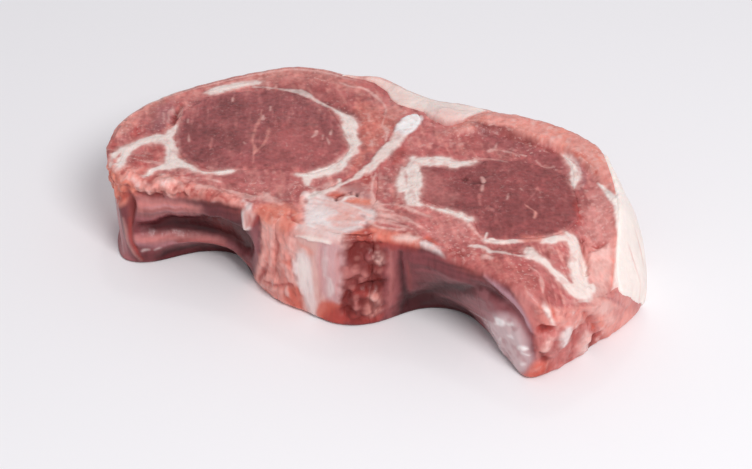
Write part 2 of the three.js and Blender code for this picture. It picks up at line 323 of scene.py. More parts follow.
# %% Strokes of the fat seams
SEAMS = {
    "left_inner": [[-28, 57.7, 0.8], [-24, 56, 2.6], [-20, 54, 4.4], [-18.3, 50.5, 4.4],
        [-16.2, 46.6, 3.8], [-13.2, 43, 3.4], [-11.4, 39, 2.8], [-11.9, 34, 2.8], [-12, 28.4, 3.8],
        [-14.2, 24.2, 3.8], [-17.4, 20.8, 3.2], [-20, 19, 2], [-23, 18.4, 0.8]],
    "left_outer": [[-42, 12, 0.8], [-45, 9.6, 1.4], [-49, 7.2, 1.4], [-54, 6.3, 2], [-58.5, 7.2, 3],
        [-63, 6.8, 5.6], [-66, 11, 3.2], [-69, 15.4, 3.8], [-72.6, 17.6, 5], [-77, 15.4, 4.2],
        [-80, 11.4, 3.6], [-80.8, 6.6, 3.6], [-80, 2, 3], [-78.6, -2.6, 1.6]],
    "left_upper": [[-73.4, 48.4, 1.2], [-71, 50.4, 3.6], [-67.6, 54.4, 4], [-64.4, 57.6, 3.4],
        [-61.6, 60.4, 2.2], [-58.6, 62.2, 0.8]],
    "right_inner": [[28.6, 50, 0.8], [26.4, 48, 2.4], [23, 45.8, 4.4], [19, 46, 5.6], [15.4, 44.6, 4.4],
        [12, 42.4, 3.8], [10.4, 39, 3.6], [12.6, 34.6, 4.6], [15, 29.6, 5], [16.4, 25.4, 4.8],
        [17.6, 21.6, 4], [21, 20.4, 1.4], [28, 20.4, 1], [34, 20.5, 1.8], [37.6, 19.6, 2.4],
        [40.4, 19.4, 0.8]],
    "right_outer": [[69.6, 27.2, 1.2], [71, 26.6, 2.6], [73, 25.4, 4], [75.2, 22.6, 5], [77.4, 18.8, 4.8],
        [79.6, 14.4, 5.6], [81.6, 11, 6]],
    "right_upper": [[54, 66.2, 0.8], [57, 63.6, 1.8], [59.6, 60.8, 2.2], [61.6, 57, 2.6],
        [62.9, 53.2, 2.4], [64, 50, 0.8]],
}
FORKS = [
    [[-19, 18.6, 3], [-17.8, 16.6, 2.6], [-16.8, 15, 1.2]],
    [[-73, 28, 0.6], [-72.7, 24, 2.2], [-72.2, 19, 3.6]],
    [[-64, 4.4, 4], [-66.6, 2.2, 2.6], [-68, 0, 1.9], [-68.6, -2.8, 1]],
    [[-80.4, 10, 2.4], [-82.6, 6, 2.4], [-83.4, 1.6, 1.8], [-82.8, -2.6, 1]],
    [[7.4, 37.4, 1], [8.8, 33.6, 2.4], [11, 29.4, 3], [13, 26, 2.6]],
    [[8.6, 43, 2], [9.6, 40, 2.6], [8.4, 36, 1.2]],
    [[71.4, 26.4, 2.4], [69, 23.8, 3.2], [67, 21, 3], [65.2, 18.8, 1.4]],
    [[83.4, 14, 3], [80.6, 9.6, 5], [77.4, 8, 3], [74.6, 7.4, 1.6]],
    [[61.4, 14, 0.8], [62.6, 13, 2.6], [64.4, 11.4, 2.4], [66, 10.8, 1.2]],
    [[63, 10.2, 1], [66, 10.6, 2.2], [70, 9.8, 2.6], [74, 8.8, 3], [77, 8.4, 3.4]],
]
print("seams:", len(SEAMS), "forks:", len(FORKS))

# %% Areas of muscle
AREAS = [
    ("rosy", 0.8, 2.5, 0, [[-93, 20], [-91, 32], [-87, 41], [-85.6, 34], [-87.4, 22], [-88.6, 12],
        [-91, 10]]),
    ("rosy", 0.5, 4.0, 0, [[-66, 66], [-58, 73], [-47, 79.5], [-36, 80], [-26, 78], [-24, 70], [-40, 70],
        [-52, 66], [-60, 64]]),
    ("pink", 0.6, 2.5, 0, [[-78, 44], [-74, 47], [-70, 46], [-68, 42], [-72, 40], [-77, 41]]),
    ("rosy", 0.45, 5.0, 0, [[-94, 22], [-92, 38], [-82, 52], [-64, 68], [-54, 74], [-52, 66], [-66, 54],
        [-76, 44], [-85, 24]]),
    ("brown", 0.7, 1.2, -0.2, [[-78, 1.6], [-75.6, 3], [-72.6, 0], [-74, -2.6], [-77, -2]]),
    ("brown", 0.3, 3.0, 0, [[-58, 64], [-44, 66], [-32, 60.5], [-22, 58.5], [-20, 62], [-28, 66],
        [-40, 69], [-52, 68]]),
    ("orange", 0.35, 2.5, 0, [[-18, 56], [-22, 66], [-14, 66], [-8, 62], [-5, 55], [-5, 44], [-6, 32],
        [-9, 32], [-9.5, 40], [-13, 46], [-16, 51]]),
    ("maroon", 0.85, 2.5, 0, [[20, 67.5], [36, 68], [50, 66.5], [58, 63], [60, 57], [52, 57], [44, 60],
        [32, 60], [26, 62]]),
    ("pink", 0.4, 2.0, 0, [[54, 66], [60, 65], [66, 59], [68, 52], [66.4, 48], [63.6, 52], [60, 58]]),
    ("pink", 0.8, 2.5, 0, [[69, 54], [74, 50], [80, 45], [83.5, 36], [84, 26], [80, 24], [76, 30],
        [72.5, 34], [70, 42]]),
    ("blush", 0.12, 3.0, 0, [[60, 70], [68, 64], [74, 54], [80, 46], [83.5, 36], [80, 30], [75, 34],
        [71, 42], [68, 54]]),
    ("pink", 0.45, 2.5, 0, [[15, 19], [26, 19.6], [38, 18], [46, 12], [44, 8], [36, 5], [28, 6], [20, 9]]),
    ("pink", 0.5, 2.0, 0, [[-53, 5], [-46, 6.6], [-40, 3], [-46, 1], [-52, 1]]),
    ("maroon", 0.5, 3.5, 0, [[-58, 9], [-42, 13], [-24, 19], [-20, 13], [-40, 6], [-58, 5.4]]),
    ("brown", 0.6, 2.0, -0.2, [[-86, 33], [-82, 34], [-80.5, 26], [-82, 23], [-84, 27]]),
    ("red", 0.35, 2.0, 0, [[-76, 9], [-71, 15], [-67.5, 9], [-69, 2], [-70, -4], [-75, -5], [-76, 0],
        [-77, 6]]),
    ("red", 0.3, 3.0, 0, [[40, 3], [48, 6], [60, 7], [70, 5], [74, -2], [66, -6], [52, -5], [43, -2]]),
    ("blush", 0.7, 2.0, 0, [[-15, 14], [-9, 16], [-8, 21], [-11, 20], [-15.4, 9], [-12, 6], [-8, 9]]),
    ("haze", 0.7, 2.0, 0.2, [[-82.5, 37], [-80, 38], [-77.8, 32], [-76, 26], [-76.5, 21], [-79.5, 20],
        [-81.5, 25], [-82.5, 31]]),
    ("blush", 0.7, 1.6, 0.1, [[11, 12], [16, 12.6], [19, 10], [17, 7.6], [12, 8]]),
    ("orange", 0.7, 1.8, 0, [[10, 3.6], [18, 4], [26, 5], [30, 2], [27, -3], [20, -4], [12, -4], [8, -2]]),
    ("cream", 0.6, 1.4, 0.1, [[21, 3], [25, 4.6], [28, 4], [26, 1.4], [22, 1]]),
    ("orange", 0.75, 1.8, 0, [[-24, 1], [-17, 2.6], [-12, 1], [-9, -5], [-8, -10], [-26, -10], [-27, -4]]),
    ("blush", 0.7, 1.6, 0.1, [[-27, 5.4], [-23, 4], [-20, 1.6], [-24, 1], [-28, 2.4]]),
    ("rosy", 0.6, 2.0, 0, [[-17, 66], [-9, 69.5], [-4, 69], [-5, 63], [-9, 62.6]]),
    ("blush", 0.75, 1.4, 1.0, [[79.6, 26], [81, 29.4], [84, 30], [87, 22], [88, 15], [86, 11], [83.6, 14],
        [81, 19], [79.8, 22]]),
]
print("areas of muscle:", len(AREAS))

# %% Strokes of the two eyes
EYES = [
    ("deep", 0.6, 3.0, 0, [[-70, 28], [-62, 30], [-52, 30], [-48, 20], [-54, 12], [-62, 13], [-68, 19]]),
    ("deep", 0.5, 2.5, 0, [[-68, 46], [-60, 48], [-54, 44], [-58, 40], [-66, 41]]),
    ("lean", 0.45, 3.5, 0, [[-40, 42], [-28, 46], [-16, 36], [-16, 28], [-24, 22], [-34, 20], [-40, 26]]),
    ("deep", 0.4, 3.0, 0, [[44, 33], [54, 36], [66, 42], [62, 32], [54, 25], [46, 24]]),
    ("deep", 0.5, 2.5, 0, [[28, 42], [36, 44], [42, 40], [34, 36], [28, 37]]),
    ("black", 0.55, 1.2, -1.0, [[28.5, 39.4, 0.8], [32, 39.4, 2.2], [35.6, 39.6, 1]]),
    ("pink", 0.35, 2.5, 0, [[15, 38], [22, 37], [30, 28], [26, 23], [19, 27]]),
    ("rosy", 0.55, 0.5, 0.15, [[-50, 46, 0.3], [-48, 41, 0.7], [-46.4, 34, 1.0], [-44.6, 29, 1.0],
        [-41.6, 24.6, 1.0], [-40.2, 21, 0.6], [-38.6, 17.6, 0.4]]),
    ("rosy", 0.5, 0.5, 0.1, [[-42.4, 37, 0.4], [-41, 32.6, 0.8], [-40, 28, 0.8], [-40.4, 23, 0.5]]),
    ("pink", 0.5, 0.5, 0.1, [[-57.6, 24, 0.3], [-56.4, 21, 0.7], [-55.4, 18.6, 0.3]]),
    ("rosy", 0.8, 0.5, 0.1, [[52.6, 34.4, 0.7], [55, 33.2, 1.2], [57.2, 32, 1.1], [58, 29, 0.6]]),
    ("pink", 0.5, 0.5, 0.1, [[53, 45, 0.3], [53.2, 40, 0.7], [52.6, 35, 0.5]]),
    ("pink", 0.5, 0.5, 0.1, [[37, 33, 0.3], [38.4, 29.6, 0.7], [39.6, 27.6, 0.3]]),
    ("pink", 0.5, 0.6, 0.1, [[42.4, 27.4, 0.8], [44, 27, 0.8]]),
]
print("strokes on the eyes:", len(EYES))

# %% Lines of blood and fat between the muscles
LINES = [
    # Painted shade in the crease inside the raised outer muscle.
    ("wine", 0.85, 1.0, -0.8, [[17, 69.4, 0.8], [25, 69.2, 2], [33, 69.2, 2.4], [40, 68.5, 2.2],
        [47, 67.5, 1.6], [53, 66, 1.1], [60, 64, 0.6]]),
    ("ember", 0.7, 0.9, -0.4, [[53, 67, 0.6], [60, 65.6, 1.2], [65, 62.4, 1.2], [68.4, 59, 0.8]]),
    # Painted shade along the right eye's border.
    ("red", 0.65, 1.1, -0.3, [[65.6, 47, 0.6], [67, 43.6, 1.4], [69.4, 39.4, 2], [71.2, 36, 1.6],
        [71, 33, 0.6]]),
    ("red", 0.9, 0.9, -2.2, [[74.6, 28.4, 0.8], [76.4, 25, 1.8], [78.2, 21.4, 2.2], [80, 18, 1]]),
    ("red", 0.75, 0.9, -1.2, [[79, 28.4, 0.8], [80.4, 28.6, 2.2], [81.8, 30.8, 0.8]]),
    ("deep", 0.8, 0.9, -0.4, [[-34, 61.4, 0.6], [-27, 59.2, 1.8], [-21, 57.8, 1.8], [-17.6, 57, 0.8]]),
    ("gore", 0.8, 0.8, -1.2, [[-77.8, 39, 0.7], [-76.6, 34, 1.3], [-75.2, 29.5, 1.7], [-74.4, 26.8, 1.1],
        [-74.8, 25.4, 0.6]]),
    ("deep", 0.7, 0.8, -0.3, [[-72.4, 33, 0.8], [-71, 29, 1.2], [-69.4, 25.5, 1.2], [-68.2, 21, 0.8]]),
    ("brown", 0.8, 0.6, -0.3, [[-60, 9.4, 0.5], [-56, 9.3, 0.9], [-50, 8.7, 0.7], [-46, 10.6, 0.8]]),
    ("red", 0.6, 1.0, -0.2, [[-85, 20, 0.8], [-83.4, 17, 2.4], [-82.4, 13, 1.6], [-83.5, 9, 0.8]]),
    ("red", 0.5, 1.2, -0.2, [[-90, 12, 1.4], [-87, 7, 2.4], [-84.5, 3, 1.6]]),
    ("red", 0.6, 0.9, -0.2, [[-70.6, 3, 1], [-70.2, -1, 2], [-70.4, -4, 1]]),
    ("red", 0.5, 1.2, -0.3, [[-14.4, 51, 1], [-13.2, 47.6, 2], [-12, 45, 1]]),
    ("red", 0.5, 1.2, -0.2, [[3.6, 46, 2], [4, 42, 2.4], [4, 37, 1.6]]),
    ("red", 0.7, 1.2, -0.2, [[-1, 27, 2], [0, 25, 3], [0.6, 23, 2]]),
    ("brown", 0.5, 1.5, 0, [[-5, 20, 2], [-2, 21, 3], [2, 20, 2]]),
    ("brown", 0.75, 1.0, -0.3, [[51, 10.2, 1], [55, 11, 2.6], [58.4, 11.4, 2.6], [61, 11.2, 1]]),
    ("gore", 0.7, 0.5, -0.4, [[57, 9.4, 0.5], [58, 9.5, 0.9], [60, 10.6, 0.6]]),
    ("orange", 0.5, 1.4, 0, [[59, 19, 1], [62.6, 19.6, 3], [65.6, 19.4, 1.6]]),
    ("gore", 0.6, 0.8, -0.3, [[67.6, 17, 0.8], [68.2, 15, 1.4], [69, 13.6, 0.6]]),
    ("gore", 0.6, 0.8, -0.3, [[73.6, 17.6, 1.4], [75, 17.2, 2], [75.8, 16, 0.8]]),
    ("ember", 0.8, 0.9, -0.4, [[30, 6.4, 0.8], [32, 5.2, 2], [34.4, 3.8, 1]]),
    ("red", 0.6, 0.9, -0.3, [[38, 4, 0.6], [41, 3, 1.4], [44, 2.4, 0.8]]),
    ("red", 0.85, 0.8, -0.7, [[-16, 1, 0.8], [-14.6, -2, 1.6], [-12, -5, 1.4], [-10, -8, 0.8]]),
    ("blush", 0.6, 0.6, 0.15, [[-76.6, 37, 0.5], [-75.2, 33.5, 1.0], [-73.6, 30, 1.0], [-72.6, 26, 1.4]]),
    ("blush", 0.6, 0.6, 0.2, [[-80, 36.5, 0.5], [-78.6, 34, 0.9], [-77.6, 32.4, 0.4]]),
    ("blush", 0.5, 0.6, 0.2, [[-80.5, 31, 0.4], [-79, 28.6, 0.8], [-77.8, 26, 0.4]]),
    ("blush", 0.5, 0.6, 0.2, [[-79.4, 33, 0.4], [-77.6, 29.5, 0.7], [-76.2, 26.6, 0.4]]),
    ("blush", 0.7, 0.5, 0.1, [[-50.5, -1.6, 0.8], [-48, -0.5, 1.2], [-44, 0.2, 0.9], [-41, 0, 0.5]]),
    ("blush", 0.7, 0.5, 0.3, [[-63.4, -3, 0.9], [-59, -2, 1.4], [-56, -1.5, 1], [-54.4, -3, 0.6]]),
    ("fat", 0.7, 0.5, 0.1, [[-60, 58.5, 0.4], [-56, 60, 0.7], [-51, 61.2, 1.1], [-46, 62.2, 1.7],
        [-43, 62.6, 2.5], [-39, 61.4, 2.1], [-35, 59.8, 1.3], [-30, 58.4, 1.1], [-27, 57.6, 1.4]]),
    ("blush", 0.85, 0.5, 0.1, [[-33, 73.8, 0.4], [-28, 73.6, 0.9], [-25, 74.4, 1.5], [-21, 73.4, 1.5],
        [-18, 71.5, 1.3], [-15, 69.4, 0.9], [-12, 66.5, 0.7], [-10.4, 62, 0.5], [-9, 57, 0.5]]),
    ("blush", 0.8, 0.5, 0.1, [[-9.4, 56.6, 0.8], [-6.4, 54.6, 1.4], [-5, 52, 1], [-3.8, 48.6, 0.7]]),
    ("fat", 0.8, 0.6, 0.1, [[-8.6, 22, 1], [-7.2, 18.6, 2], [-8.6, 15, 2.2], [-11, 12.4, 3],
        [-13.4, 9.6, 2.4]]),
    ("fat", 0.8, 0.6, 0.1, [[-3.4, 30, 1.2], [-4, 25, 1.5], [-5.4, 22, 1.5], [-6.6, 19.6, 0.8]]),
    ("blush", 0.85, 0.6, 0.1, [[1, 30, 0.8], [1.8, 26, 0.7], [4, 20.4, 0.9], [6.4, 17, 1.8],
        [8, 14.6, 2.4], [11, 13.6, 2], [14.4, 13.8, 1]]),
    ("blush", 0.8, 0.6, 0.1, [[10, 5.4, 0.6], [13, 4.2, 0.9], [17, 4.6, 1], [22, 6.2, 0.8]]),
    ("brown", 0.5, 0.8, -0.1, [[12, 14.4, 0.8], [18, 14.8, 1.4], [24, 14, 0.8]]),
    ("gore", 0.4, 0.6, -0.2, [[11, 9, 0.5], [16, 9.6, 1], [22, 8.8, 0.5]]),
    ("blush", 0.65, 0.6, 0.15, [[9.6, 15.6, 0.6], [15, 17.2, 1.2], [22.6, 16.6, 0.9], [28, 16, 0.4]]),
    ("blush", 0.65, 0.6, 0.15, [[13, 11.2, 0.6], [18, 12.2, 1.4], [24, 10.6, 1], [29.6, 9, 0.5]]),
    ("blush", 0.55, 0.6, 0.15, [[12, 6.6, 0.5], [18, 7.4, 1.1], [24, 7.8, 0.5]]),
    ("blush", 0.6, 0.5, 0.1, [[30.4, 57.6, 0.7], [32, 59.2, 0.9], [36, 59.6, 0.7], [42.4, 60.3, 0.5]]),
    ("blush", 0.6, 0.5, 0.1, [[31, 63, 0.4], [31.8, 60.4, 0.8]]),
    ("blush", 0.6, 0.5, 0.1, [[46.6, 59.6, 0.5], [50, 57.1, 0.8], [53, 57.9, 0.4]]),
    ("blush", 0.6, 0.5, 0.1, [[28, 51, 0.8], [31, 52.4, 0.9], [35, 53.6, 0.8], [38.4, 54, 0.4]]),
    # Painted shadow on the right-hand side of the pale streak that follows.
    ("haze", 0.8, 0.9, 0.2, [[55, 66, 1.2], [60.5, 62, 2.6], [63.4, 58, 2.6], [65.4, 54, 1.8],
        [66.6, 49, 0.8]]),
    ("blush", 0.8, 0.7, 0.2, [[53, 66.4, 1.4], [56, 65, 2], [58.4, 62.6, 1.4], [60, 60, 0.6]]),
    ("chalk", 0.7, 0.6, 0.2, [[57, 65.4, 0.6], [59.4, 63.6, 1.3], [61.6, 61, 0.8], [63, 58.6, 0.4]]),
    ("blush", 0.7, 0.4, 0.2, [[60, 65.2, 0.5], [64, 62.6, 0.7], [67.4, 60.4, 0.4]]),
    ("cream", 0.95, 0.6, 0.2, [[70.2, 55.4, 0.6], [73, 53.2, 1.6], [76, 50.5, 2.0], [79, 47, 2.2],
        [82, 42, 1.8], [84, 37, 1.2]]),
    ("cream", 0.8, 0.8, 0.1, [[78.4, 51, 0.8], [81, 46.6, 1.8], [84, 41, 2], [86, 34, 2],
        [87.4, 28, 1.4]]),
    ("blush", 0.8, 0.6, 0.1, [[40.4, 17, 0.7], [43, 15, 0.9], [46, 13, 1.4], [48.4, 11.6, 2.2]]),
    ("fat", 0.85, 0.5, 0.2, [[47, 15.2, 0.8], [47.7, 12.4, 1.2], [50, 12.6, 2.2], [53, 13.6, 2.2],
        [56, 15.2, 1.8], [58.6, 16.4, 1.1]]),
    ("rosy", 0.8, 0.7, 0.1, [[58, 16.4, 1], [62, 18.4, 1.8], [65, 20, 1.2]]),
    ("fat", 0.8, 0.5, 0.1, [[44, 7.4, 0.8], [47, 8.4, 1.5], [49.6, 8.2, 1.4], [51.4, 7, 0.6]]),
    ("fat", 0.75, 0.5, 0.1, [[52, 7.8, 0.6], [56, 8.8, 0.8], [60, 9.6, 0.9], [64, 10.2, 1.2]]),
    ("blush", 0.8, 0.9, 0.3, [[50.8, 4.4, 1.6], [53, 4.6, 1.8]]),
    ("blush", 0.6, 0.5, 0.1, [[66, 5.4, 0.6], [69.4, 4, 0.9], [71.6, 1.4, 0.9], [73, -1.6, 0.6]]),
    ("chalk", 0.95, 0.5, 0.5, [[29.2, 3.2, 1.2], [32, 1.7, 2.6], [35, 0.7, 2.4], [38, -0.4, 1.9],
        [39.8, -1.3, 0.8]]),
    ("chalk", 0.8, 0.6, 0.4, [[-32.4, -1.6, 1.2], [-30, -3, 2.2], [-28, -6, 1.6]]),
]
print("lines on the face:", len(LINES))

# %% Glints of water on the face
GLINTS = [
    [[-27, 42.6, 0.5], [-26.6, 40.6, 0.9], [-26.9, 38.8, 0.4]], [[-24.2, 41.6, 0.8], [-23.4, 39.6, 0.9]],
    [[-22.6, 41, 0.5], [-20.8, 39, 0.9], [-20.2, 38, 0.5]], [[-23, 46, 0.5], [-22.2, 43.2, 0.7]],
    [[-66.2, 23.2, 0.4], [-65, 21, 0.8], [-64, 19.4, 0.3]], [[-70.8, 31.2, 0.4], [-70, 29.4, 0.7]],
    [[-62.7, 48.6, 0.4], [-61.8, 46.8, 0.7]], [[-48, 49, 0.4], [-47.3, 47.2, 0.8]],
    [[-48, 43.4, 0.4], [-47, 41, 0.9]], [[-33.4, 32.2, 0.5], [-32.6, 30.8, 0.8]],
    [[-46.8, 26.4, 0.5], [-46, 25.8, 0.8]], [[34.2, 42.2, 0.8], [35.4, 40.6, 1.2]],
    [[36.2, 38.2, 0.5], [36.8, 36, 1], [37.2, 34.8, 0.4]],
    [[45.6, 37, 0.5], [46.2, 34.8, 1.1], [46.4, 33.6, 0.4]], [[48.2, 41.6, 0.9], [49, 41, 0.9]],
    [[17.2, 70.4, 0.4], [18.2, 68.6, 0.9], [19, 67.2, 0.5]], [[-7.8, 46, 0.6], [-7.2, 44, 1.1]],
]
print("glints on the face:", len(GLINTS))

# %% Strokes of the backbone's cut face
BONES = [
    ("blush", 0.6, 1.8, 0.1, [[-14, 12], [-9, 17], [-2, 20.4], [5, 19], [9, 15], [11, 11], [4, 9],
        [-8, 9]]),
    ("chalk", 0.9, 1.3, 0.1, [[-16, 10.4], [-13, 3], [-9.6, -4], [-7.4, -11], [4.4, -11], [6.6, -4],
        [10, 1.6], [10, 7], [8.6, 11], [2, 10.8], [-4, 10.6], [-10, 12]]),
    ("ice", 0.4, 2.2, 0, [[-9, 2], [-5, 4], [-2.6, 0], [-3, -6], [-7, -5]]),
    ("rosy", 0.5, 1.0, -0.1, [[-10, 6.6, 0.8], [-4, 7.6, 1.8], [3, 7.4, 2.2], [8, 5.6, 1]]),
    ("blush", 0.8, 0.7, 0.1, [[-11, 9, 0.8], [-4, 9.4, 1.2], [3, 9.2, 1.2], [8.6, 8.4, 0.8]]),
    ("orange", 0.5, 1.4, -0.2, [[-1.6, 2.2, 1], [2, 4, 3.4], [6, 5.2, 1.4]]),
    ("rosy", 0.5, 0.9, -0.1, [[0, -0.6, 0.6], [4, 0.4, 1.6], [8.4, 2.8, 1]]),
    ("blush", 0.6, 1.0, 0, [[-6, -2.6, 0.6], [0, -4.6, 1.8], [5, -3.6, 1]]),
    ("salmon", 0.7, 1.3, 0, [[-15.4, 8, 1.4], [-13.4, 2.4, 2.6], [-10.6, -3, 2.8], [-8.4, -9, 2]]),
    ("fat", 0.9, 0.9, 0.3, [[-2, 30, 2.6], [-1.6, 34, 4], [-1.4, 39, 4.2], [-1.4, 44, 3.6], [-0.6, 49, 4],
        [-0.4, 54, 5.4]]),
    ("ice", 1.0, 0.8, 0.3, [[-0.6, 56, 5.6], [-0.6, 60, 7], [-0.6, 63.4, 6.6], [-0.4, 66, 3.6]]),
    ("haze", 0.35, 1.2, 0, [[-0.8, 55, 2], [-0.6, 53, 3], [-0.6, 51, 1.4]]),
    ("haze", 0.5, 1.4, -0.1, [[-4, 17.4, 1.6], [0, 18.4, 3], [4, 17.4, 1.6]]),
    ("ember", 0.9, 1.0, -0.4, [[-8, 12.6, 1.6], [-6, 13.8, 3.6], [-4, 14.8, 1.6]]),
    ("orange", 0.85, 0.9, -0.3, [[-1, 12.4, 1.4], [2, 13.4, 3], [6, 14.8, 2.2]]),
    ("gore", 0.85, 0.6, -0.5, [[-6, 13.2, 0.6], [-5, 13.4, 1.4], [-4, 15, 1.2]]),
    ("black", 0.8, 0.6, -0.9, [[-5.2, 12.4, 0.8], [-4.5, 11, 0.9]]),
    ("black", 0.8, 0.6, -0.9, [[0, 17.2, 1.2], [0.4, 16.4, 1.5]]),
    ("deep", 0.8, 0.6, -0.6, [[-2.2, 16.8, 1.2], [-1.6, 16, 1.2]]),
    ("fat", 0.9, 0.6, 0.2, [[-2.4, 11.6, 0.8], [-2.0, 13.6, 1.2], [0, 15.4, 0.8]]),
    ("brown", 0.6, 0.6, -0.3, [[6.4, 7.6, 0.7], [7.4, 7.4, 0.9]]),
    ("brown", 0.6, 0.6, -0.3, [[-14.2, 8, 0.6], [-13.6, 6.8, 1.0]]),
    ("gore", 0.6, 0.6, -0.3, [[9.6, 5, 0.8], [10.4, 4.6, 0.9]]),
    ("ember", 0.7, 1.4, 0, [[6.4, -4, 1.6], [8.6, -2.4, 3], [10.6, 0, 2]]),
    ("red", 0.85, 1.4, -0.4, [[10.4, 3, 1], [11.6, 0, 3], [13, -3, 4.4], [15.6, -6, 4]]),
    ("gore", 0.9, 1.2, -0.4, [[11.4, -4, 1.6], [13.4, -6, 3], [16, -8, 2.4]]),
]
print("strokes on the bone:", len(BONES))

# %% [markdown]
# The front wall has its own flat map in millimetres: x, which past the two front corners goes on
# as length along the upper rim, and the height. From left to right it shows the torn lip with a
# hollow and a ledge below it, the sawn vertebra with its marrow, a second hollow that a wet
# membrane lines, and the ragged flank. The darkness of the hollows is painted shade, and the
# glints on the ledge and the membrane are painted highlights.

# %% Strokes of the left hollow and its torn lip
LEFT_END = [[-116, 27], [-84, 25], [-79.6, 20], [-77.6, 12], [-77, 4], [-80, 1], [-116, 1]]
LEFT_HOLLOW = [
    ("haze", 0.85, 2.0, -1.2, [[-116, 29], [-84, 27], [-79, 22], [-76.6, 12], [-74, 3], [-71, -5],
        [-116, -5]]),
    ("pink", 0.4, 2.0, 0, LEFT_END),
    ("lilac", 0.25, 2.0, 0, LEFT_END),
    ("salmon", 0.9, 1.4, 0.3, [[-116, 42], [-37, 42], [-37, 34.6], [-44, 33], [-54, 31], [-62, 30],
        [-70, 28.6], [-75, 24], [-80, 21], [-84, 24], [-116, 26]]),
    ("orange", 0.9, 1.6, 0, [[-116, 38], [-78, 36], [-71, 33], [-70, 28], [-75, 23.6], [-81, 21],
        [-88, 25], [-116, 26]]),
    ("red", 0.5, 1.6, -0.3, [[-51, 35], [-44, 36], [-37, 36], [-31, 36.6], [-31, 33], [-38, 33],
        [-46, 32.4]]),
    # Painted shade on the lip's right end.
    ("wine", 0.8, 1.6, 0, [[-46, 33.6], [-38, 35], [-31, 36], [-31.6, 30], [-38, 31.4], [-46, 31.6]]),
    ("haze", 0.8, 2.0, 0, [[-71, 19], [-70, 28], [-62, 29.4], [-54, 30], [-47, 30], [-45, 27], [-52, 23],
        [-60, 20.4]]),
    ("pink", 0.9, 1.8, 0, [[-70, 21], [-69.4, 28], [-62, 29], [-54, 30], [-47, 30], [-48, 26],
        [-60, 22.6]]),
    # Painted shade in the hollow's upper right, under the lip.
    ("painted_shade", 0.5, 3.5, 0, [[-48, 31], [-36, 33], [-29, 31], [-29, 20], [-48, 22]]),
    ("lilac", 0.4, 0.6, 0.1, [[-69, 21.4, 0.5], [-62, 23, 1.0], [-53, 25, 0.5]]),
    ("lilac", 0.35, 0.6, 0.1, [[-68, 24, 0.5], [-60, 26, 1], [-54, 27.4, 0.4]]),
    ("wine", 0.5, 0.7, -0.2, [[-68, 22.4, 0.5], [-60, 24.4, 0.9], [-50, 27, 0.4]]),
    # Painted shade: the dark recess in the middle of the hollow.
    ("painted_shade", 0.97, 2.2, -3.0, [[-70, 15.4], [-66, 17.6], [-60, 20.4], [-52, 21.4], [-46, 24.6],
        [-40, 25.6], [-33, 24.4], [-28.6, 19], [-31, 12.6], [-40, 10.6], [-50, 11.6], [-60, 12.6],
        [-66, 13.2]]),
    # More painted shade deep in the recess.
    ("gore", 0.3, 2.5, 0, [[-46, 23], [-38, 24.6], [-31, 22], [-30, 15], [-38, 11.4], [-46, 12.4]]),
    ("haze", 0.6, 1.8, 0.4, [[-30.6, 31], [-26.4, 32], [-24.6, 22], [-26, 10], [-28.6, 6], [-28.6, 16],
        [-29, 25]]),
    # Painted shade below the ledge, near the floor.
    ("painted_shade", 0.85, 1.8, -1.2, [[-64, 4], [-58, 5], [-48, 5.6], [-38, 6], [-33, 5], [-33, -5], [-64, -5]]),
    ("haze", 0.95, 1.4, 0.8, [[-72, 10.2, 4.6], [-64, 10, 5], [-56, 9.8, 4.4], [-46, 9.2, 3.2],
        [-38, 8.6, 2]]),
    ("pink", 0.8, 1.4, 0, [[-71, 11, 2.4], [-64, 10.8, 3.4], [-54, 10.4, 2.6], [-44, 9.6, 1.6]]),
    ("lilac", 0.3, 1.4, 0, [[-70, 9, 1.6], [-62, 9, 2], [-54, 8.6, 1.2]]),
    ("wine", 0.8, 1.1, 0.9, [[-58, 9.6, 2.2], [-52, 9, 2.4], [-46, 8.4, 2.2], [-40, 7.8, 2],
        [-32, 7.6, 1.6]]),
    # Painted glints on the ledge, in the chalk colour.
    ("chalk", 0.5, 0.7, 0.2, [[-69.4, 5.6, 0.6], [-68.4, 6.4, 1.2], [-67, 6.6, 0.5]]),
    ("chalk", 0.4, 0.7, 0.2, [[-65.4, 6.4, 0.4], [-64, 7, 0.9]]),
    ("wine", 0.9, 1.0, -0.4, [[-73.4, 31, 1.6], [-72.4, 26, 2.8], [-72.4, 21, 2.4], [-73, 15, 1.6],
        [-71.6, 6, 1.2]]),
    ("gore", 0.85, 0.8, -0.8, [[-72.2, 26, 0.8], [-71.9, 23.4, 2.2], [-72.2, 19.6, 1.2],
        [-72.6, 16, 0.6]]),
    ("blush", 0.45, 0.8, 0.5, [[-75.4, 18, 0.6], [-74.8, 14, 1], [-74.2, 9, 1.2], [-72.4, 4.6, 0.9],
        [-70, 1.6, 0.6]]),
    ("red", 0.7, 0.8, -0.3, [[-73.4, 18, 0.6], [-73, 11, 1.2], [-71.6, 5.6, 1.2], [-69.6, 2, 0.8]]),
    # Painted shadow: a dark red line under the lip's overhanging edge.
    ("gore", 0.85, 0.7, -1.0, [[-70.4, 28.8, 0.6], [-66, 29.4, 1.6], [-62, 29.8, 1.2], [-60.6, 29, 0.5]]),
    ("blush", 0.85, 0.8, 0.9, [[-30.8, 26.4], [-30.6, 31], [-31, 36], [-26.6, 36], [-26.2, 32],
        [-27.6, 28.6], [-29.4, 26]]),
    ("red", 0.5, 0.9, -0.3, [[-28.4, 33.4, 0.8], [-27.8, 31, 1.8], [-28.6, 28.6, 0.8]]),
    ("chalk", 0.9, 0.6, 0.5, [[-28, 35.4, 0.8], [-30.6, 33.4, 1.3], [-30.4, 29.4, 1.3], [-29.6, 26.4, 1],
        [-28, 27.6, 0.7]]),
    ("red", 0.7, 0.9, -0.4, [[-27, 29, 0.8], [-25.4, 32, 1.8], [-24.4, 35, 1]]),
]
print("strokes on the left hollow:", len(LEFT_HOLLOW))

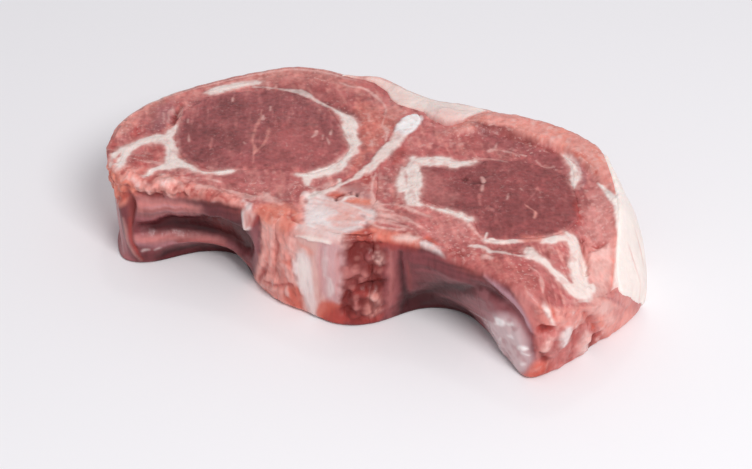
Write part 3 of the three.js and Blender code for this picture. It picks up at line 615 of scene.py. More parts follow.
# %% Strokes of the vertebra and its marrow
MARROW = [[7, 34], [10, 36], [16, 36], [18.4, 32], [18.6, 20], [18, 6], [15, 2], [8, 2], [6.6, 8],
    [6.2, 16], [7, 24]]
VERTEBRA = [
    ("salmon", 0.95, 1.2, 0.5, [[-24, 38], [-23.4, 25], [-25.4, 15], [-28, 7], [-31, -4], [-7, -4],
        [-8, 8], [-9.6, 14], [-10, 24], [-10.6, 38]]),
    ("orange", 0.65, 1.8, 0, [[-24.6, 38], [-23, 32.4], [-18, 33], [-13, 32], [-11, 38]]),
    ("ember", 0.8, 1.4, -0.2, [[-14, 2], [-8, 2], [-7.6, 11], [-10, 11.6], [-14, 8]]),
    ("red", 0.8, 0.8, -1.0, [[-21.4, 15.4, 0.8], [-23.4, 11, 2], [-25.6, 7, 1.4], [-27, 4, 0.6]]),
    ("red", 0.6, 0.9, -0.6, [[-17.4, 29, 0.8], [-17, 24.6, 1.4], [-17.6, 21, 0.6]]),
    ("ember", 0.6, 1.0, -0.3, [[-15, 20.4, 1], [-11.8, 20.4, 2], [-10.8, 23, 1]]),
    ("red", 0.65, 0.9, -0.7, [[-24, 6, 0.8], [-19, 7.4, 1.6], [-15, 9.4, 1.2], [-12, 11, 0.8]]),
    ("blush", 0.5, 1.2, 0.3, [[-22.6, 31, 0.8], [-22.2, 22, 1.2], [-24, 14, 1], [-26.6, 8, 1]]),
    ("blush", 0.85, 0.6, 0.5, [[-14, 9, 0.6], [-13.6, 6, 1]]),
    ("blush", 0.8, 0.8, 0.4, [[-27, 2, 0.8], [-22, 4.6, 1.4], [-18, 6, 0.8]]),
    ("blush", 0.5, 1.2, 0.3, [[-19.6, 31, 0.8], [-19.4, 24, 1.4], [-20.6, 15, 0.8]]),
    ("blush", 0.5, 1.2, 0.3, [[-15.4, 27, 0.6], [-15.2, 22, 1.1], [-16.4, 14, 0.6]]),
    ("blush", 0.8, 0.9, 0.4, [[-11.6, 33, 1], [-11.4, 27, 2], [-10.6, 23, 0.8]]),
    ("blush", 0.6, 0.7, 0.4, [[-13.4, 19, 0.8], [-13, 15, 1.4], [-12.4, 12, 0.8]]),
    ("red", 0.4, 0.7, -0.5, [[-18, 19, 0.5], [-18.4, 13, 1], [-20, 8.6, 0.5]]),
    ("blush", 0.9, 1.3, 0.3, [[-10.6, 36], [7, 36], [7, 26], [6.4, 10], [2, 9], [-2, 2], [-7, 2], [-8, 10],
        [-10, 16], [-10, 26]]),
    ("lilac", 0.5, 1.6, 0, [[-1.6, 32.6], [6.6, 32], [6.8, 22], [6, 10], [1, 9.6], [-1.4, 20]]),
    ("pink", 0.35, 0.8, -0.2, [[-0.8, 31, 0.8], [-1, 20, 1.6], [-1.2, 10, 0.8]]),
    ("pink", 0.3, 0.7, -0.1, [[4.6, 30, 0.6], [4.8, 22, 1.2], [4.4, 12, 0.6]]),
    ("chalk", 0.6, 0.9, 0.2, [[2.6, 19, 1], [2.6, 15, 2.4], [2.2, 12, 1.2]]),
    ("chalk", 0.4, 0.9, 0.2, [[1, 31, 0.8], [0.6, 25, 2], [0.6, 20, 0.8]]),
    ("orange", 0.45, 1.4, 0, [[-9, 30, 1], [-5, 28, 3], [-8, 25.6, 1]]),
    ("chalk", 0.9, 1.5, 0.5, [[-6.8, 27, 2], [-7, 22, 6], [-6.8, 17, 6.4], [-6, 12.6, 4.6]]),
    ("cream", 0.6, 1.5, 0, [[-7, 23, 2], [-7, 18, 3.6], [-6.6, 14, 2]]),
    ("chalk", 0.75, 1.3, 0.4, [[-5.6, 14, 4], [-4.8, 8, 3.8], [-4.2, 1, 3.4]]),
    ("blush", 0.7, 0.8, 0.3, [[-3.4, 26, 0.8], [-2.8, 18, 1.6], [-2.4, 10, 0.8]]),
    ("ember", 0.85, 1.4, -0.3, [[-1.6, 1.6], [7, 1.6], [7.4, 8.6], [2, 9.8], [-1, 7.8]]),
    ("red", 0.75, 1.4, -0.2, [[0.6, 0], [7.6, 0], [7.6, 7.6], [4, 6.4], [2, 3.6]]),
    ("chalk", 0.6, 1.2, 0, [[-10, 35.2, 1.6], [-2, 35.4, 2.4], [5, 35.2, 1.6]]),
    ("fat", 0.95, 0.5, 0.7, [[-9.6, 32.8, 0.6], [-5, 33.2, 1.4], [-1, 33.4, 1.2], [2.4, 33.2, 0.5]]),
    ("wine", 0.95, 2.4, -0.4, MARROW),
    ("gore", 0.5, 2.4, 0, MARROW),
    ("gore", 0.85, 1.2, -0.8, [[7.4, 27], [8.6, 31.6], [11.6, 33.4], [14.6, 32.6], [14.8, 30.4],
        [12.2, 29.4], [11, 26.4], [9.4, 24.4]]),
    ("maroon", 0.6, 1.0, 0.6, [[11.6, 28.6], [13.2, 29.6], [14.2, 28], [13.6, 25.8], [12, 25.4]]),
    ("blush", 0.8, 1.1, 1.0, [[14.8, 26.8], [15.6, 29.2], [17.6, 29], [18.2, 26.4], [17, 24.4],
        [15.4, 24.8]]),
    ("pink", 0.55, 1.4, 0.3, [[6.6, 23.6], [10, 23.4], [13.6, 21.6], [14, 18.6], [10, 18.8], [6.6, 17.8]]),
    ("gore", 0.8, 0.9, -0.8, [[13.4, 22.6, 0.8], [15, 20.4, 1.6], [15.6, 18, 1.6]]),
    ("black", 0.85, 0.9, -1.2, [[11.4, 16.8, 1], [14, 16.2, 2.2], [17, 16.4, 2], [18.4, 18, 1]]),
    ("red", 0.6, 1.2, 0, [[9.6, 15, 1.6], [12.6, 13.4, 2.4], [13.4, 11.6, 1]]),
    ("gore", 0.85, 1.0, -0.9, [[8, 14, 1.4], [7.4, 10, 2.4], [8.4, 6.4, 2.4], [10.6, 5, 1.2]]),
    ("pink", 0.65, 0.9, 0.7, [[9, 8.8], [9.8, 11.4], [11.2, 10.8], [11.4, 8.2], [10.2, 6.8]]),
    ("rosy", 0.8, 1.2, 1.0, [[12.8, 8], [13.8, 12.2], [15.8, 13.6], [17.4, 11], [17.2, 6.8], [15.6, 3.8],
        [13.4, 5]]),
    ("blush", 0.7, 1.0, 0.3, [[14.6, 12, 1], [16, 9.4, 2], [15.4, 6.4, 1]]),
    ("red", 0.8, 1.2, 0, [[6, 3.4, 1.6], [10, 3, 2.6], [15, 2, 2], [17.6, 3, 1.2]]),
]
print("strokes on the vertebra:", len(VERTEBRA))

# %% Strokes of the right hollow and its membrane
MEMBRANE = [[55, 13], [60, 21], [66, 22], [70, 17], [71.4, 8], [68, 1], [54, 2], [52, 8]]
RIGHT_HOLLOW = [
    ("maroon", 0.8, 1.4, 0, [[18.8, 34], [22, 34], [21.6, 2], [18, 2]]),
    ("pink", 0.35, 0.9, 0.2, [[20, 30, 0.8], [20, 18, 1.6], [19.4, 6, 0.8]]),
    # Painted shade in the corner beside the vertebra.
    ("painted_shade", 0.85, 1.0, -0.9, [[23, 30, 0.8], [23.2, 15, 1.6], [23.4, 4, 1.6]]),
    ("wine", 0.6, 0.8, -0.3, [[25.4, 27, 0.6], [25.6, 20, 1.3], [25, 12, 0.6]]),
    ("ember", 0.8, 1.3, 0.2, [[8, 36, 2], [14, 35.4, 2.6], [20, 34.4, 3], [29, 34.6, 2.4], [36, 35.4, 1]]),
    ("red", 0.6, 1.6, 0, [[12, 33.4, 1], [20, 32.2, 2.2], [28, 32.6, 1.4]]),
    ("orange", 0.7, 0.8, 0.4, [[19, 35, 1], [24, 35.4, 1.6], [28, 35.6, 1]]),
    ("wine", 0.8, 1.6, 0, [[38, 34.2, 2.4], [46, 33.4, 3.4], [56, 33.4, 2]]),
    # Painted shade in a band under the membrane's upper rim.
    ("painted_shade", 0.75, 2.2, -1.4, [[25, 6, 3], [33, 12.6, 4.4], [40, 18.6, 4.4], [46, 24, 4], [51, 27.4, 3.6],
        [57, 28.4, 2.8], [63, 26.4, 2], [67, 24.6, 1]]),
    ("haze", 0.65, 2.6, 0.5, [[43, 13], [49, 22], [56, 25.6], [63, 23], [69, 20], [71, 12], [70, 3],
        [60, 4], [50, 9]]),
    ("lilac", 0.95, 2.4, 0.3, MEMBRANE),
    ("chalk", 0.55, 2.4, 0, MEMBRANE),
    # Painted shade low in the hollow, near the floor.
    ("painted_shade", 0.9, 2.4, -0.8, [[22, 9], [30, 9.6], [40, 8], [46, 4], [44, -5], [22, -5]]),
    ("lilac", 0.85, 1.0, 0.8, [[54, 33.8, 0.8], [60, 32, 2], [65, 29, 3], [69, 25.6, 2.6],
        [71.6, 21.6, 1.2]]),
    ("haze", 0.7, 1.4, -0.4, [[62, 27.6, 1.6], [66.6, 24.4, 3], [70.4, 21, 1.6]]),
    # Painted highlights: glints on the wet membrane.
    ("glint", 0.95, 0.7, 0.1, [[58.2, 15, 0.8], [60, 17.6, 3.2], [61.6, 18.8, 2]]),
    ("glint", 0.6, 0.6, 0.1, [[63.4, 19, 0.8], [65.2, 20, 1.4]]),
    ("glint", 0.6, 0.6, 0.1, [[63.6, 14, 0.8], [65.4, 15, 1.5]]),
    ("glint", 0.9, 0.6, 0.1, [[67.6, 11.4, 0.8], [69.4, 13, 1.8], [70.6, 13.6, 0.8]]),
    ("glint", 0.6, 0.5, 0.1, [[69, 10.6, 0.5], [71, 10.9, 0.7]]),
    ("glint", 0.5, 0.6, 0.1, [[56.6, 8.6, 0.9], [57.6, 10, 1]]),
    ("glint", 0.5, 0.6, 0.1, [[59.4, 8, 0.6], [60.6, 10, 0.9]]),
    ("glint", 0.5, 0.6, 0.1, [[69, 5.6, 0.8], [70, 6.6, 0.9]]),
    ("glint", 0.4, 0.5, 0.1, [[45, 8, 0.4], [50, 10.2, 0.7], [55, 12.6, 0.6]]),
]
print("strokes on the right hollow:", len(RIGHT_HOLLOW))

# %% Strokes of the right flank
FLANK = [
    ("pink", 0.95, 1.0, 0.6, [[62, 42], [63, 34.4], [67, 30], [70, 26.4], [72.4, 21.5], [72.8, 15],
        [73, 9], [71, 4], [68.5, -5], [112, -5], [112, 42]]),
    ("salmon", 0.6, 1.6, 0, [[66, 36], [72, 33], [74, 25], [80, 24], [84, 20], [87, 34], [80, 38]]),
    ("red", 0.4, 1.6, -0.3, [[70, 30], [73, 32], [75, 29], [74, 25], [72, 24.6]]),
    ("salmon", 0.8, 2.0, 0.4, [[87, 40], [87.6, 28], [88, 14], [86.6, 4], [86, -5], [97, -5], [97.4, 40]]),
    ("blush", 0.75, 2.0, 0.3, [[88.6, 33], [92, 34], [96, 32], [96, 20], [92, 22], [89.4, 26]]),
    ("blush", 0.5, 1.6, 0.2, [[89.6, 20], [92.6, 19], [93, 12], [90.4, 11]]),
    ("pink", 0.6, 1.6, -0.2, [[94.6, 22, 2], [94.6, 15, 3], [94, 9, 1.6]]),
    ("haze", 0.6, 0.9, -0.4, [[97.6, 35, 1.4], [97.6, 27, 1.3], [97.2, 20, 0.9], [96.6, 12, 0.6]]),
    ("ember", 0.85, 1.4, 0, [[72.8, 8], [75.4, 7], [76, 3], [74.4, -3], [69, -5], [70.6, 2]]),
    ("cream", 0.75, 0.6, 0.6, [[74.8, 35.4, 1.6], [75.6, 32, 1.5], [76.4, 29, 1.1], [76.8, 26.4, 0.6]]),
    ("ember", 0.85, 0.6, -0.6, [[76.9, 33.8, 0.8], [77.1, 31.6, 1.3], [77.2, 29.4, 0.6]]),
    ("rosy", 0.9, 0.7, 0.6, [[77.6, 35, 1.4], [78.4, 31.4, 2.2], [78.2, 28, 1.2]]),
    ("blush", 0.8, 0.4, 0.2, [[77.2, 26, 0.4], [77.4, 23.4, 0.7]]),
    ("red", 0.95, 0.9, -1.5, [[73.8, 21.8, 1.8], [75, 23, 3.4], [76, 24, 1.6]]),
    ("gore", 0.6, 0.7, -0.4, [[74.2, 22, 0.8], [75, 23, 1.5]]),
    ("blush", 0.85, 0.6, 0.5, [[76, 19.8, 1.1], [75.2, 16, 1.6], [74.6, 13, 0.9]]),
    ("chalk", 0.9, 0.7, 0.9, [[80, 23.8, 1.2], [79, 20.5, 2.6], [78.4, 16.5, 2], [78, 13.2, 0.9]]),
    ("wine", 0.5, 0.6, -0.4, [[77, 19, 0.5], [76.4, 14.6, 0.9], [75.6, 11, 0.5]]),
    ("gore", 0.9, 0.6, -1.0, [[73.9, 12.8, 0.7], [74.2, 10.8, 1.1], [74.8, 9, 1.7], [75, 8.2, 0.8]]),
    ("red", 0.55, 0.8, -0.7, [[81, 20, 0.6], [80.6, 14, 1.1], [79.8, 9, 1], [79.2, 5, 0.5]]),
    ("blush", 0.9, 1.0, 0.9, [[83.6, 16, 1], [83.4, 12, 3.2], [82.6, 7, 3.8], [82.4, 2, 3.6],
        [82, -3, 3]]),
    ("chalk", 0.5, 0.9, 0.2, [[82.8, 8, 1.4], [82.6, 3, 2.4], [82.6, -3, 2]]),
    ("ember", 0.5, 1.2, -0.8, [[86.6, 29, 0.8], [86.6, 23, 2.2], [86.2, 18, 1.6]]),
    ("ember", 0.85, 0.7, -1.2, [[86.7, 17.4, 0.8], [86.2, 14.6, 1.5], [86, 11.4, 0.9]]),
    ("red", 0.7, 1.2, -0.8, [[86.4, 9.6], [87.6, 6], [87, 0], [85, 0], [84.8, 6]]),
    ("gore", 0.85, 0.6, -1.8, [[85, 9.2, 0.7], [84.8, 6, 1.5], [84.2, 2, 1.4], [84, -3, 1]]),
    ("orange", 0.5, 0.8, 0.3, [[89.4, 22, 0.8], [88.8, 18, 1.6], [88.4, 12.6, 0.9]]),
]
WALL = LEFT_HOLLOW + VERTEBRA + RIGHT_HOLLOW + FLANK
print("strokes on the flank:", len(FLANK), "and on the whole wall:", len(WALL))

# %% [markdown]
# The upper face is a cut through muscles that relax by different amounts. The eyes swell, the
# outer muscle that curls round the right eye stands a few millimetres proud, the right flank
# sags, and every stroke has its own rise. All of that is one function of the map, so that every
# piece that lies on the face can follow it.

# %% Height of the upper face
EYE_OUTLINES = [("maroon", 0.95, 3.5, 0, EYE_LEFT), ("maroon", 0.95, 2.5, 0, EYE_RIGHT)]
SEAM_STROKES = [("fat", 0.95, 0.7, 0.15, line) for line in [*SEAMS.values(), *FORKS]]
GLINT_STROKES = [("blush", 0.6, 0.5, 0.15, line) for line in GLINTS]
FACE = AREAS + EYE_OUTLINES + EYES + BONES + LINES + SEAM_STROKES + GLINT_STROKES


def ragged(points, seed):
    """Unevenness of a stroke's edge, about -1 to 1, at two sizes."""
    return 0.8 * uneven(points, 2.2, seed, 2) + 0.9 * uneven(points, 5.5, seed + 7, 2)


def relief(x, y, strokes, edge):
    """Sum of the rises of all strokes at each point, in mm; edge is their unevenness."""
    rise = np.zeros(x.shape)
    for _, _, soft, height, landmarks in strokes:
        if height:
            rise = rise + height * stroke(x, y, landmarks, soft + 0.3, edge)
    return rise


def oval(x, y, middle_x, middle_y, half_width, half_depth):
    """Distance from an oval's middle as a share of its half width and half depth."""
    return np.hypot((x - middle_x) / half_width, (y - middle_y) / half_depth)


EYE_OVALS = [(-44, 35, 31, 27), (42, 35, 30, 23)]  # x, y, half width, half depth
BAND_OVAL = (40, 36, 36, 33)  # the inner edge of the outer muscle, given in the same way
SPINE_OVAL = (-1, 82, 20, 9)  # the dip at the back of the spine
EYE_RISE, BAND_RISE = 0.9, 2.4  # mm
SPINE_DIP, ROLL_DROP, FLANK_DROP = 3.0, 2.0, 13.0  # mm


def outer_band(x, y):
    """1 on the raised outer muscle round the right eye and 0 inside its edge, which is steep
    along the back and fades out towards the flank."""
    out = oval(x, y, *BAND_OVAL)
    edge = mix(ease(0.95, 1.3, out), ease(0.99, 1.06, out), ease(52, 64, y))
    return edge * ease(10, 24, x) * ease(14, 28, y)


def swell(x, y):
    """Large forms of the face in mm: eyes up, outer muscle up and rolled over at its rim, spine
    down, right flank down."""
    rise = sum(EYE_RISE * np.maximum(0, 1 - oval(x, y, *eye) ** 2) for eye in EYE_OVALS)
    rise = rise + BAND_RISE * outer_band(x, y) - SPINE_DIP * hump(oval(x, y, *SPINE_OVAL))
    rolled = ease(1.22, 1.44, oval(x, y, *BAND_OVAL)) * ease(10, 24, x) * ease(44, 60, y)
    towards_tip = np.clip((x - 68) / 20.5, 0, 1) ** 1.2
    return rise - ROLL_DROP * rolled - FLANK_DROP * towards_tip * (1 - ease(18, 46, y))


def crags(points):
    """Torn flesh, about -1 to 1: uneven lumps with cracks between scattered grains."""
    lumps = 0.9 * uneven(points, 5, 22, 2) + 0.7 * uneven(points, 1.8, 23, 2)
    return lumps + 0.5 * (0.55 - grains(points, 4.2, 24))


def torn(x, y):
    """1 along the face's front edge on the left, where the lip is torn, and 0 elsewhere."""
    return ease(1.5, -2.5, y + 2 * uneven(flat(x, y), 6, 26)) * ease(-28, -36, x)


def face_height(x, y):
    """Height of the upper face over the floor, in mm."""
    p = flat(x, y)
    rise = swell(x, y) + 0.34 * uneven(p, 9, 11) + 0.2 * uneven(p, 2.2, 12, 2)
    rise = rise + relief(x, y, FACE, ragged(p, 31)) + 0.9 * torn(x, y) * crags(p)
    return THICKNESS + rise + 0.6 * outer_band(x, y) * (0.5 - grains(p, 3.0, 13))


print("face height at the left eye:", face_height(np.array([-44.0]), np.array([35.0])))

# %% [markdown]
# The outer wall joins the two rims. In front it hangs as a lip and then draws in below it. At the
# right end it is a round shoulder. The lip is torn where the belly was pulled off, and the
# strokes of the wall carve the hollows, the ledge and the marrow.

# %% Places along the rim
FRONT_CORNERS = (-84, 78)  # x where the front turns into the round ends
RIM_STEPS = 2001  # places at which a rim is looked up or measured


def path_length(path):
    """Length from a path's first point to each of its points: the sum of the steps so far."""
    return np.concatenate([[0], np.cumsum(np.linalg.norm(np.diff(path, axis=0), axis=1))])


def rim_run(t):
    """Place on the wall's map: x along the front, and past its corners the length of the rim."""
    places = np.linspace(0, 0.5, RIM_STEPS)
    rim = curve(TOP_LOOP, places, True)
    length = path_length(rim)
    at_corner = np.interp(FRONT_CORNERS, rim[:, 0], length)
    beyond = np.maximum(0, length - at_corner[1]) - np.maximum(0, at_corner[0] - length)
    return np.interp(t, places, np.clip(rim[:, 0], *FRONT_CORNERS) + beyond)


def heading(t):
    """Unit direction of the upper rim at t, from two points close to it."""
    step = curve(TOP_LOOP, t + 1e-3, True) - curve(TOP_LOOP, t - 1e-3, True)
    return step / np.linalg.norm(step, axis=-1, keepdims=True)


def rim_inset(z, height):
    """How far the wall draws in where it rounds over into a cut face, as on a circle."""
    radius = np.where(z > height / 2, TOP_RIM, FOOT_RIM)
    depth = np.maximum(0, radius - np.minimum(z, height - z))
    return radius - np.sqrt(radius**2 - depth**2)


print("the front wall's map runs from", rim_run(0.0), "to", rim_run(0.5))

# %% Torn and smooth parts of the wall
LIP_LINE = np.array([  # the torn lip's lower edge on the wall's map
    [-116, 26], [-84, 24], [-79, 21.5], [-75, 24.6], [-70, 28.6], [-62, 29.8], [-54, 31],
    [-44, 33], [-36, 34.6], [-30, 37],
])


def roughness_of(x, z):
    """Share of torn flesh on the wall's map: the lip, the vertebra's flesh and the right flank."""
    lip = ease(-1, 1.5, z - np.interp(x, LIP_LINE[:, 0], LIP_LINE[:, 1])) * ease(-29, -34, x)
    flesh = 0.5 * ease(-27, -23, x) * ease(-8, -11, x)
    return np.maximum(lip, flesh) + 0.6 * ease(70.5, 74, x) - 0.35 * ease(85, 90, x)


def drawn_down(x, points):
    """Points squeezed in height on the vertebra, so that its torn flesh hangs in strands."""
    strands = ease(-29, -26, x) * ease(0, -4, x)
    return np.stack([points[..., 0], points[..., 1], points[..., 2] * (1 - 0.2 * strands)], -1)


def on_vertebra(x):
    """1 on the vertebra's part of the wall and 0 beside it."""
    return ease(-28, -24, x) * ease(24, 20, x)


def wall_edge(x, z, points):
    """Unevenness of the wall strokes' edges in mm: slight on the smooth hollows, large on torn
    flesh and on the vertebra."""
    loose = np.clip(roughness_of(x, z) + on_vertebra(x), 0, 1)
    return (0.12 + 0.58 * loose) * ragged(points, 41)


def sponge(x, z, points):
    """Shares of gaps and of pale cells in the bone's spongy marrow, from the distance to the
    nearest of scattered cell middles."""
    share = stroke(x, z, MARROW, 1.6, wall_edge(x, z, points))
    cells = grains(points + 0.8 * uneven(points, 3, 48)[..., None], 3.2, 47)
    return share * ease(0.42, 0.75, cells), share * ease(0.4, 0.1, cells)


def before_flank(x):
    """1 on the wall up to the ragged flank and 0 on it."""
    return ease(72.5, 70.5, x)


def film_share(x, z):
    """1 on the wet membrane of the right-hand hollow and 0 elsewhere."""
    return ease(44, 56, x) * before_flank(x) * ease(32, 28, z)


def wall_relief(x, z, points):
    """Small forms of the front wall in mm: strokes on its map, gaps in the marrow, soft swells,
    bumps under the membrane, torn flesh, and the left end drawn in."""
    forms = relief(x, z, WALL, wall_edge(x, z, points)) - 0.7 * sponge(x, z, points)[0]
    soft = 0.3 * uneven(points * [1, 1, 0.4], 7, 24)
    soft = soft + 0.45 * film_share(x, z) * uneven(points, 4.5, 27)
    flesh = 1.3 * roughness_of(x, z) * crags(drawn_down(x, points))
    return soft + flesh + forms - 1.5 * ease(-76, -86, x)


print("torn share on the lip:", roughness_of(np.array([-50.0]), np.array([34.0])))

# %% Points of the outer wall
def right_end(x):
    """1 at the right-hand end of the rim and 0 left of it."""
    return ease(56, 70, x)


def shoulder_in(h):
    """Share of the way in from the lower to the upper rim at the round right-hand shoulder:
    between a quarter circle and a slope."""
    return mix(1 - np.sqrt(1 - h**2), h**1.6, 0.55)


def wall(t, h):
    """Outer wall: t runs once round the rim, h from the lower face to the upper. A point lies
    between the two rims by a lean-in that is straight up to the lip, or rounded on the right
    shoulder, and is pushed out by belly and small forms. These settle to nothing at both rims,
    where the wall meets the cut faces."""
    top, foot, along = curve(TOP_LOOP, t, True), curve(FOOT_LOOP, t, True), heading(t)
    front = np.maximum(0, along[..., 0])
    shoulder = (1 - front) * right_end(top[..., 0])
    lean_in = mix(np.minimum(1, h / LIP_FOOT), shoulder_in(h), shoulder)
    height = face_height(top[..., 0], top[..., 1])
    out = BELLY * np.sin(np.pi * h) - (1 - shoulder) * rim_inset(h * height, height)
    x, y = mix(foot[..., 0], top[..., 0], lean_in), mix(foot[..., 1], top[..., 1], lean_in)
    plain = np.stack([x, y, h * height], -1)
    settle = ease(0, 0.06, h) * ease(1.0, 0.93, h)
    run, map_z = np.broadcast_arrays(rim_run(t), THICKNESS * h)
    out = out + settle * ease(0, 0.3, front) * wall_relief(run, map_z, plain)
    out = out + settle * (1 - front) * 0.4 * uneven(plain * [1, 1, 0.4], 7, 25)
    return plain + np.stack([along[..., 1] * out, -along[..., 0] * out, 0 * out], -1)


print("front wall at half height:", wall(np.array([0.25]), np.array([0.5])))

# %% [markdown]
# With the strokes in place, colour is worked out like the form: start from plain muscle, lay the
# strokes over it one after another, and mottle the result a little. Pieces that lie on the same
# map share one painting, so their borders do not show as joints.

# %% Tools for painting
def fibres(x, y, degrees, width, seed):
    """Noise drawn out to five times its width along one direction of the map."""
    a = np.radians(degrees)
    along, across = x * np.cos(a) + y * np.sin(a), y * np.cos(a) - x * np.sin(a)
    return uneven(flat(along / 5, across), width, seed, 2)


def lay(colour, tissue, share):
    """Lay a tissue's colour over another with a share at every point."""
    return mix(colour, TISSUE[tissue], share[..., None])


def strokes_over(colour, x, y, strokes, edge):
    """Lay a list of strokes over a painting."""
    for tissue, strength, soft, _, landmarks in strokes:
        colour = lay(colour, tissue, strength * stroke(x, y, landmarks, soft, edge))
    return colour


def mottled(colour, points, seed, calm=0.0):
    """Lighter and darker blotches, some per cent either way; calm is a share left even."""
    blotches = 0.2 * uneven(points, 1.6, seed, 2) + 0.24 * uneven(points, 5, seed + 5, 2)
    return np.clip(colour * (1 + (1 - calm) * blotches)[..., None], 0, 1)


def blood_shade_and_glints(colour, share, points):
    """Torn flesh: dark red in its cracks, partly blood and partly painted shade, lighter crests,
    and painted glints on the highest crests.
    """
    height = crags(points)
    colour = lay(colour, "red", 0.75 * share * ease(-0.05, -0.45, height))
    colour = lay(colour, "blush", 0.55 * share * ease(0.2, 0.6, height))
    return lay(colour, "glint", 0.4 * share * ease(0.6, 0.85, height))


def eye_depth(x, y):
    """How deep a point of the face lies in the nearer eye, in mm."""
    return np.maximum(area_depth(x, y, EYE_LEFT), area_depth(x, y, EYE_RIGHT))


def seam_depth(x, y):
    """How deep a point of the face lies in the nearest fat seam, in mm."""
    return np.max([band_depth(x, y, line) for line in [*SEAMS.values(), *FORKS]], axis=0)


print("lean and blush half and half:", lay(TISSUE["lean"], "blush", np.array([0.5])))

# %% Colours of the cut face
def paint_face(x, y):
    """Colours of the cut face, from below upwards: muscle with its fibres, the outer band, areas,
    the torn lip with blood and painted shade in its cracks and painted glints on its crests, the
    eyes, bone and lines, the fat seams with a rosy border, and specks and glints, which are
    painted highlights."""
    p = flat(x, y)
    edge = ragged(p, 31)
    colour = np.broadcast_to(TISSUE["lean"], (*x.shape, 3))
    colour = lay(colour, "pink", 0.6 * ease(-0.2, 0.5, uneven(p, 8, 31)))
    colour = lay(colour, "brown", 0.5 * ease(0, 0.6, uneven(p, 11, 32)))
    colour = lay(colour, "rosy", 0.5 * ease(0.0, 0.5, fibres(x, y, -50, 1.2, 33)))
    colour = lay(colour, "deep", 0.3 * ease(-0.05, -0.5, fibres(x, y, -62, 1.3, 45)))
    band = outer_band(x, y)
    roll = band * ease(50, 64, y)
    colour = lay(colour, "rosy", 0.95 * band)
    colour = lay(colour, "salmon", 0.6 * roll)
    colour = lay(colour, "orange", 0.4 * band * ease(-0.2, 0.5, uneven(p, 6, 34)))
    colour = lay(colour, "blush", 0.6 * band * ease(0.45, 0.2, grains(p, 3.0, 13)))
    colour = strokes_over(colour, x, y, AREAS, edge)
    strip = ease(11, 4, y) * ease(-24, -32, x)
    colour = lay(colour, "blush", 0.55 * strip * ease(0.15, 0.5, fibres(x, y, 6, 1.4, 40)))
    colour = lay(colour, "brown", 0.6 * strip * ease(-0.1, -0.45, fibres(x, y, 4, 1.8, 44)))
    lip = torn(x, y)
    colour = lay(colour, "salmon", 0.85 * lip)
    # The torn lip: blood and painted shade in its cracks, lighter crests and painted glints.
    colour = blood_shade_and_glints(colour, lip, p)
    colour = strokes_over(colour, x, y, EYE_OUTLINES, edge)
    loin = ease(0, 2, eye_depth(x, y))
    colour = lay(colour, "pink", loin * 0.3 * ease(0.0, 0.6, fibres(x, y, 115, 1.1, 35)))
    colour = lay(colour, "deep", loin * 0.35 * ease(-0.1, -0.6, fibres(x, y, 115, 1.4, 46)))
    right_loin = loin * ease(8, 20, x)
    colour = lay(colour, "deep", 0.38 * right_loin)
    colour = lay(colour, "red", 0.1 * right_loin)
    colour = strokes_over(colour, x, y, EYES + BONES + LINES, edge)
    seam = seam_depth(x, y) + 0.95 * edge
    white = ease(-0.7, 0.7, seam)
    colour = lay(colour, "blush", 0.45 * ease(-2.2, 0.3, seam))
    colour = lay(colour, "fat", white * (0.97 - 0.45 * ease(0.0, 0.6, uneven(p, 3.2, 36))))
    bone = ease(-0.5, 1.5, band_depth(x, y, BACKBONE))
    colour = mottled(colour, p, 37, np.maximum(0.8 * np.maximum(white, bone), 0.5 * roll))
    # Painted highlights: pale specks where water would glint, fewer on the eyes and none on the fat.
    specks = ease(0.3, 0.6, uneven(p, 1.3, 38, 1)) * ease(-0.1, 0.4, uneven(p, 9, 39))
    colour = lay(colour, "blush", 0.35 * specks * (1 - white) * (1 - 0.8 * loin))
    return strokes_over(colour, x, y, GLINT_STROKES, edge)


print("colour in the left eye:", paint_face(np.array([-44.0]), np.array([35.0])))

# %% Colours of the front wall
def paint_wall(x, z, points):
    """Colours of the front wall: strokes on its map, long sloping streaks of lighter and darker
    film in the two hollows, the marrow's sponge, a mottled membrane, and on torn flesh blood and
    painted shade in the cracks, lighter crests and painted glints."""
    colour = np.broadcast_to(TISSUE["film"], points.shape)
    colour = strokes_over(colour, x, z, WALL, wall_edge(x, z, points))
    hollow = ease(-73, -69, x) * ease(-30, -33, x) + ease(24, 30, x) * ease(60, 50, x)
    streaks = hollow * uneven(flat(x / 14, z - 0.2 * x), 1.8, 42, 2)
    colour = colour * np.clip(1 + 0.55 * streaks, 0.5, 1.5)[..., None]
    gaps, cells = sponge(x, z, points)
    colour = lay(colour, "rosy", 0.25 * cells)
    colour = lay(colour, "gore", 0.8 * gaps)
    between_bumps = ease(-0.05, -0.5, uneven(points, 4.5, 27))
    colour = lay(colour, "haze", 0.45 * film_share(x, z) * between_bumps)
    rough = np.clip(roughness_of(x, z), 0, 1)
    # Torn flesh: blood and painted shade in its cracks, lighter crests and painted glints.
    colour = blood_shade_and_glints(colour, 0.8 * rough, drawn_down(x, points))
    return mottled(colour, points * [1, 1, 0.6], 43, 0.9 * (1 - rough))


marrow_place = np.array([[12.0, -7.0, 20.0]])
print("colour of the marrow:", paint_wall(marrow_place[:, 0], marrow_place[:, 2], marrow_place))

# %% Colours of the sides and back
SHEET_EDGE = [  # outline of the fat on the right, y and z
    [62, 50], [48, 46], [41, 42], [32.6, 36], [26, 27], [22.4, 18.5], [25, 11], [34, 6], [40, 3],
    [46, -3], [56, -6], [70, -4], [71, 20], [69, 40],
]


def sheet_depth(points):
    """How deep a point of the right-hand wall lies in its sheet of fat, in mm; elsewhere it is
    far outside."""
    depth = area_depth(points[..., 1], points[..., 2], SHEET_EDGE) + 0.6 * uneven(points, 4, 54)
    return np.where(points[..., 0] > 55, depth, -FAR)


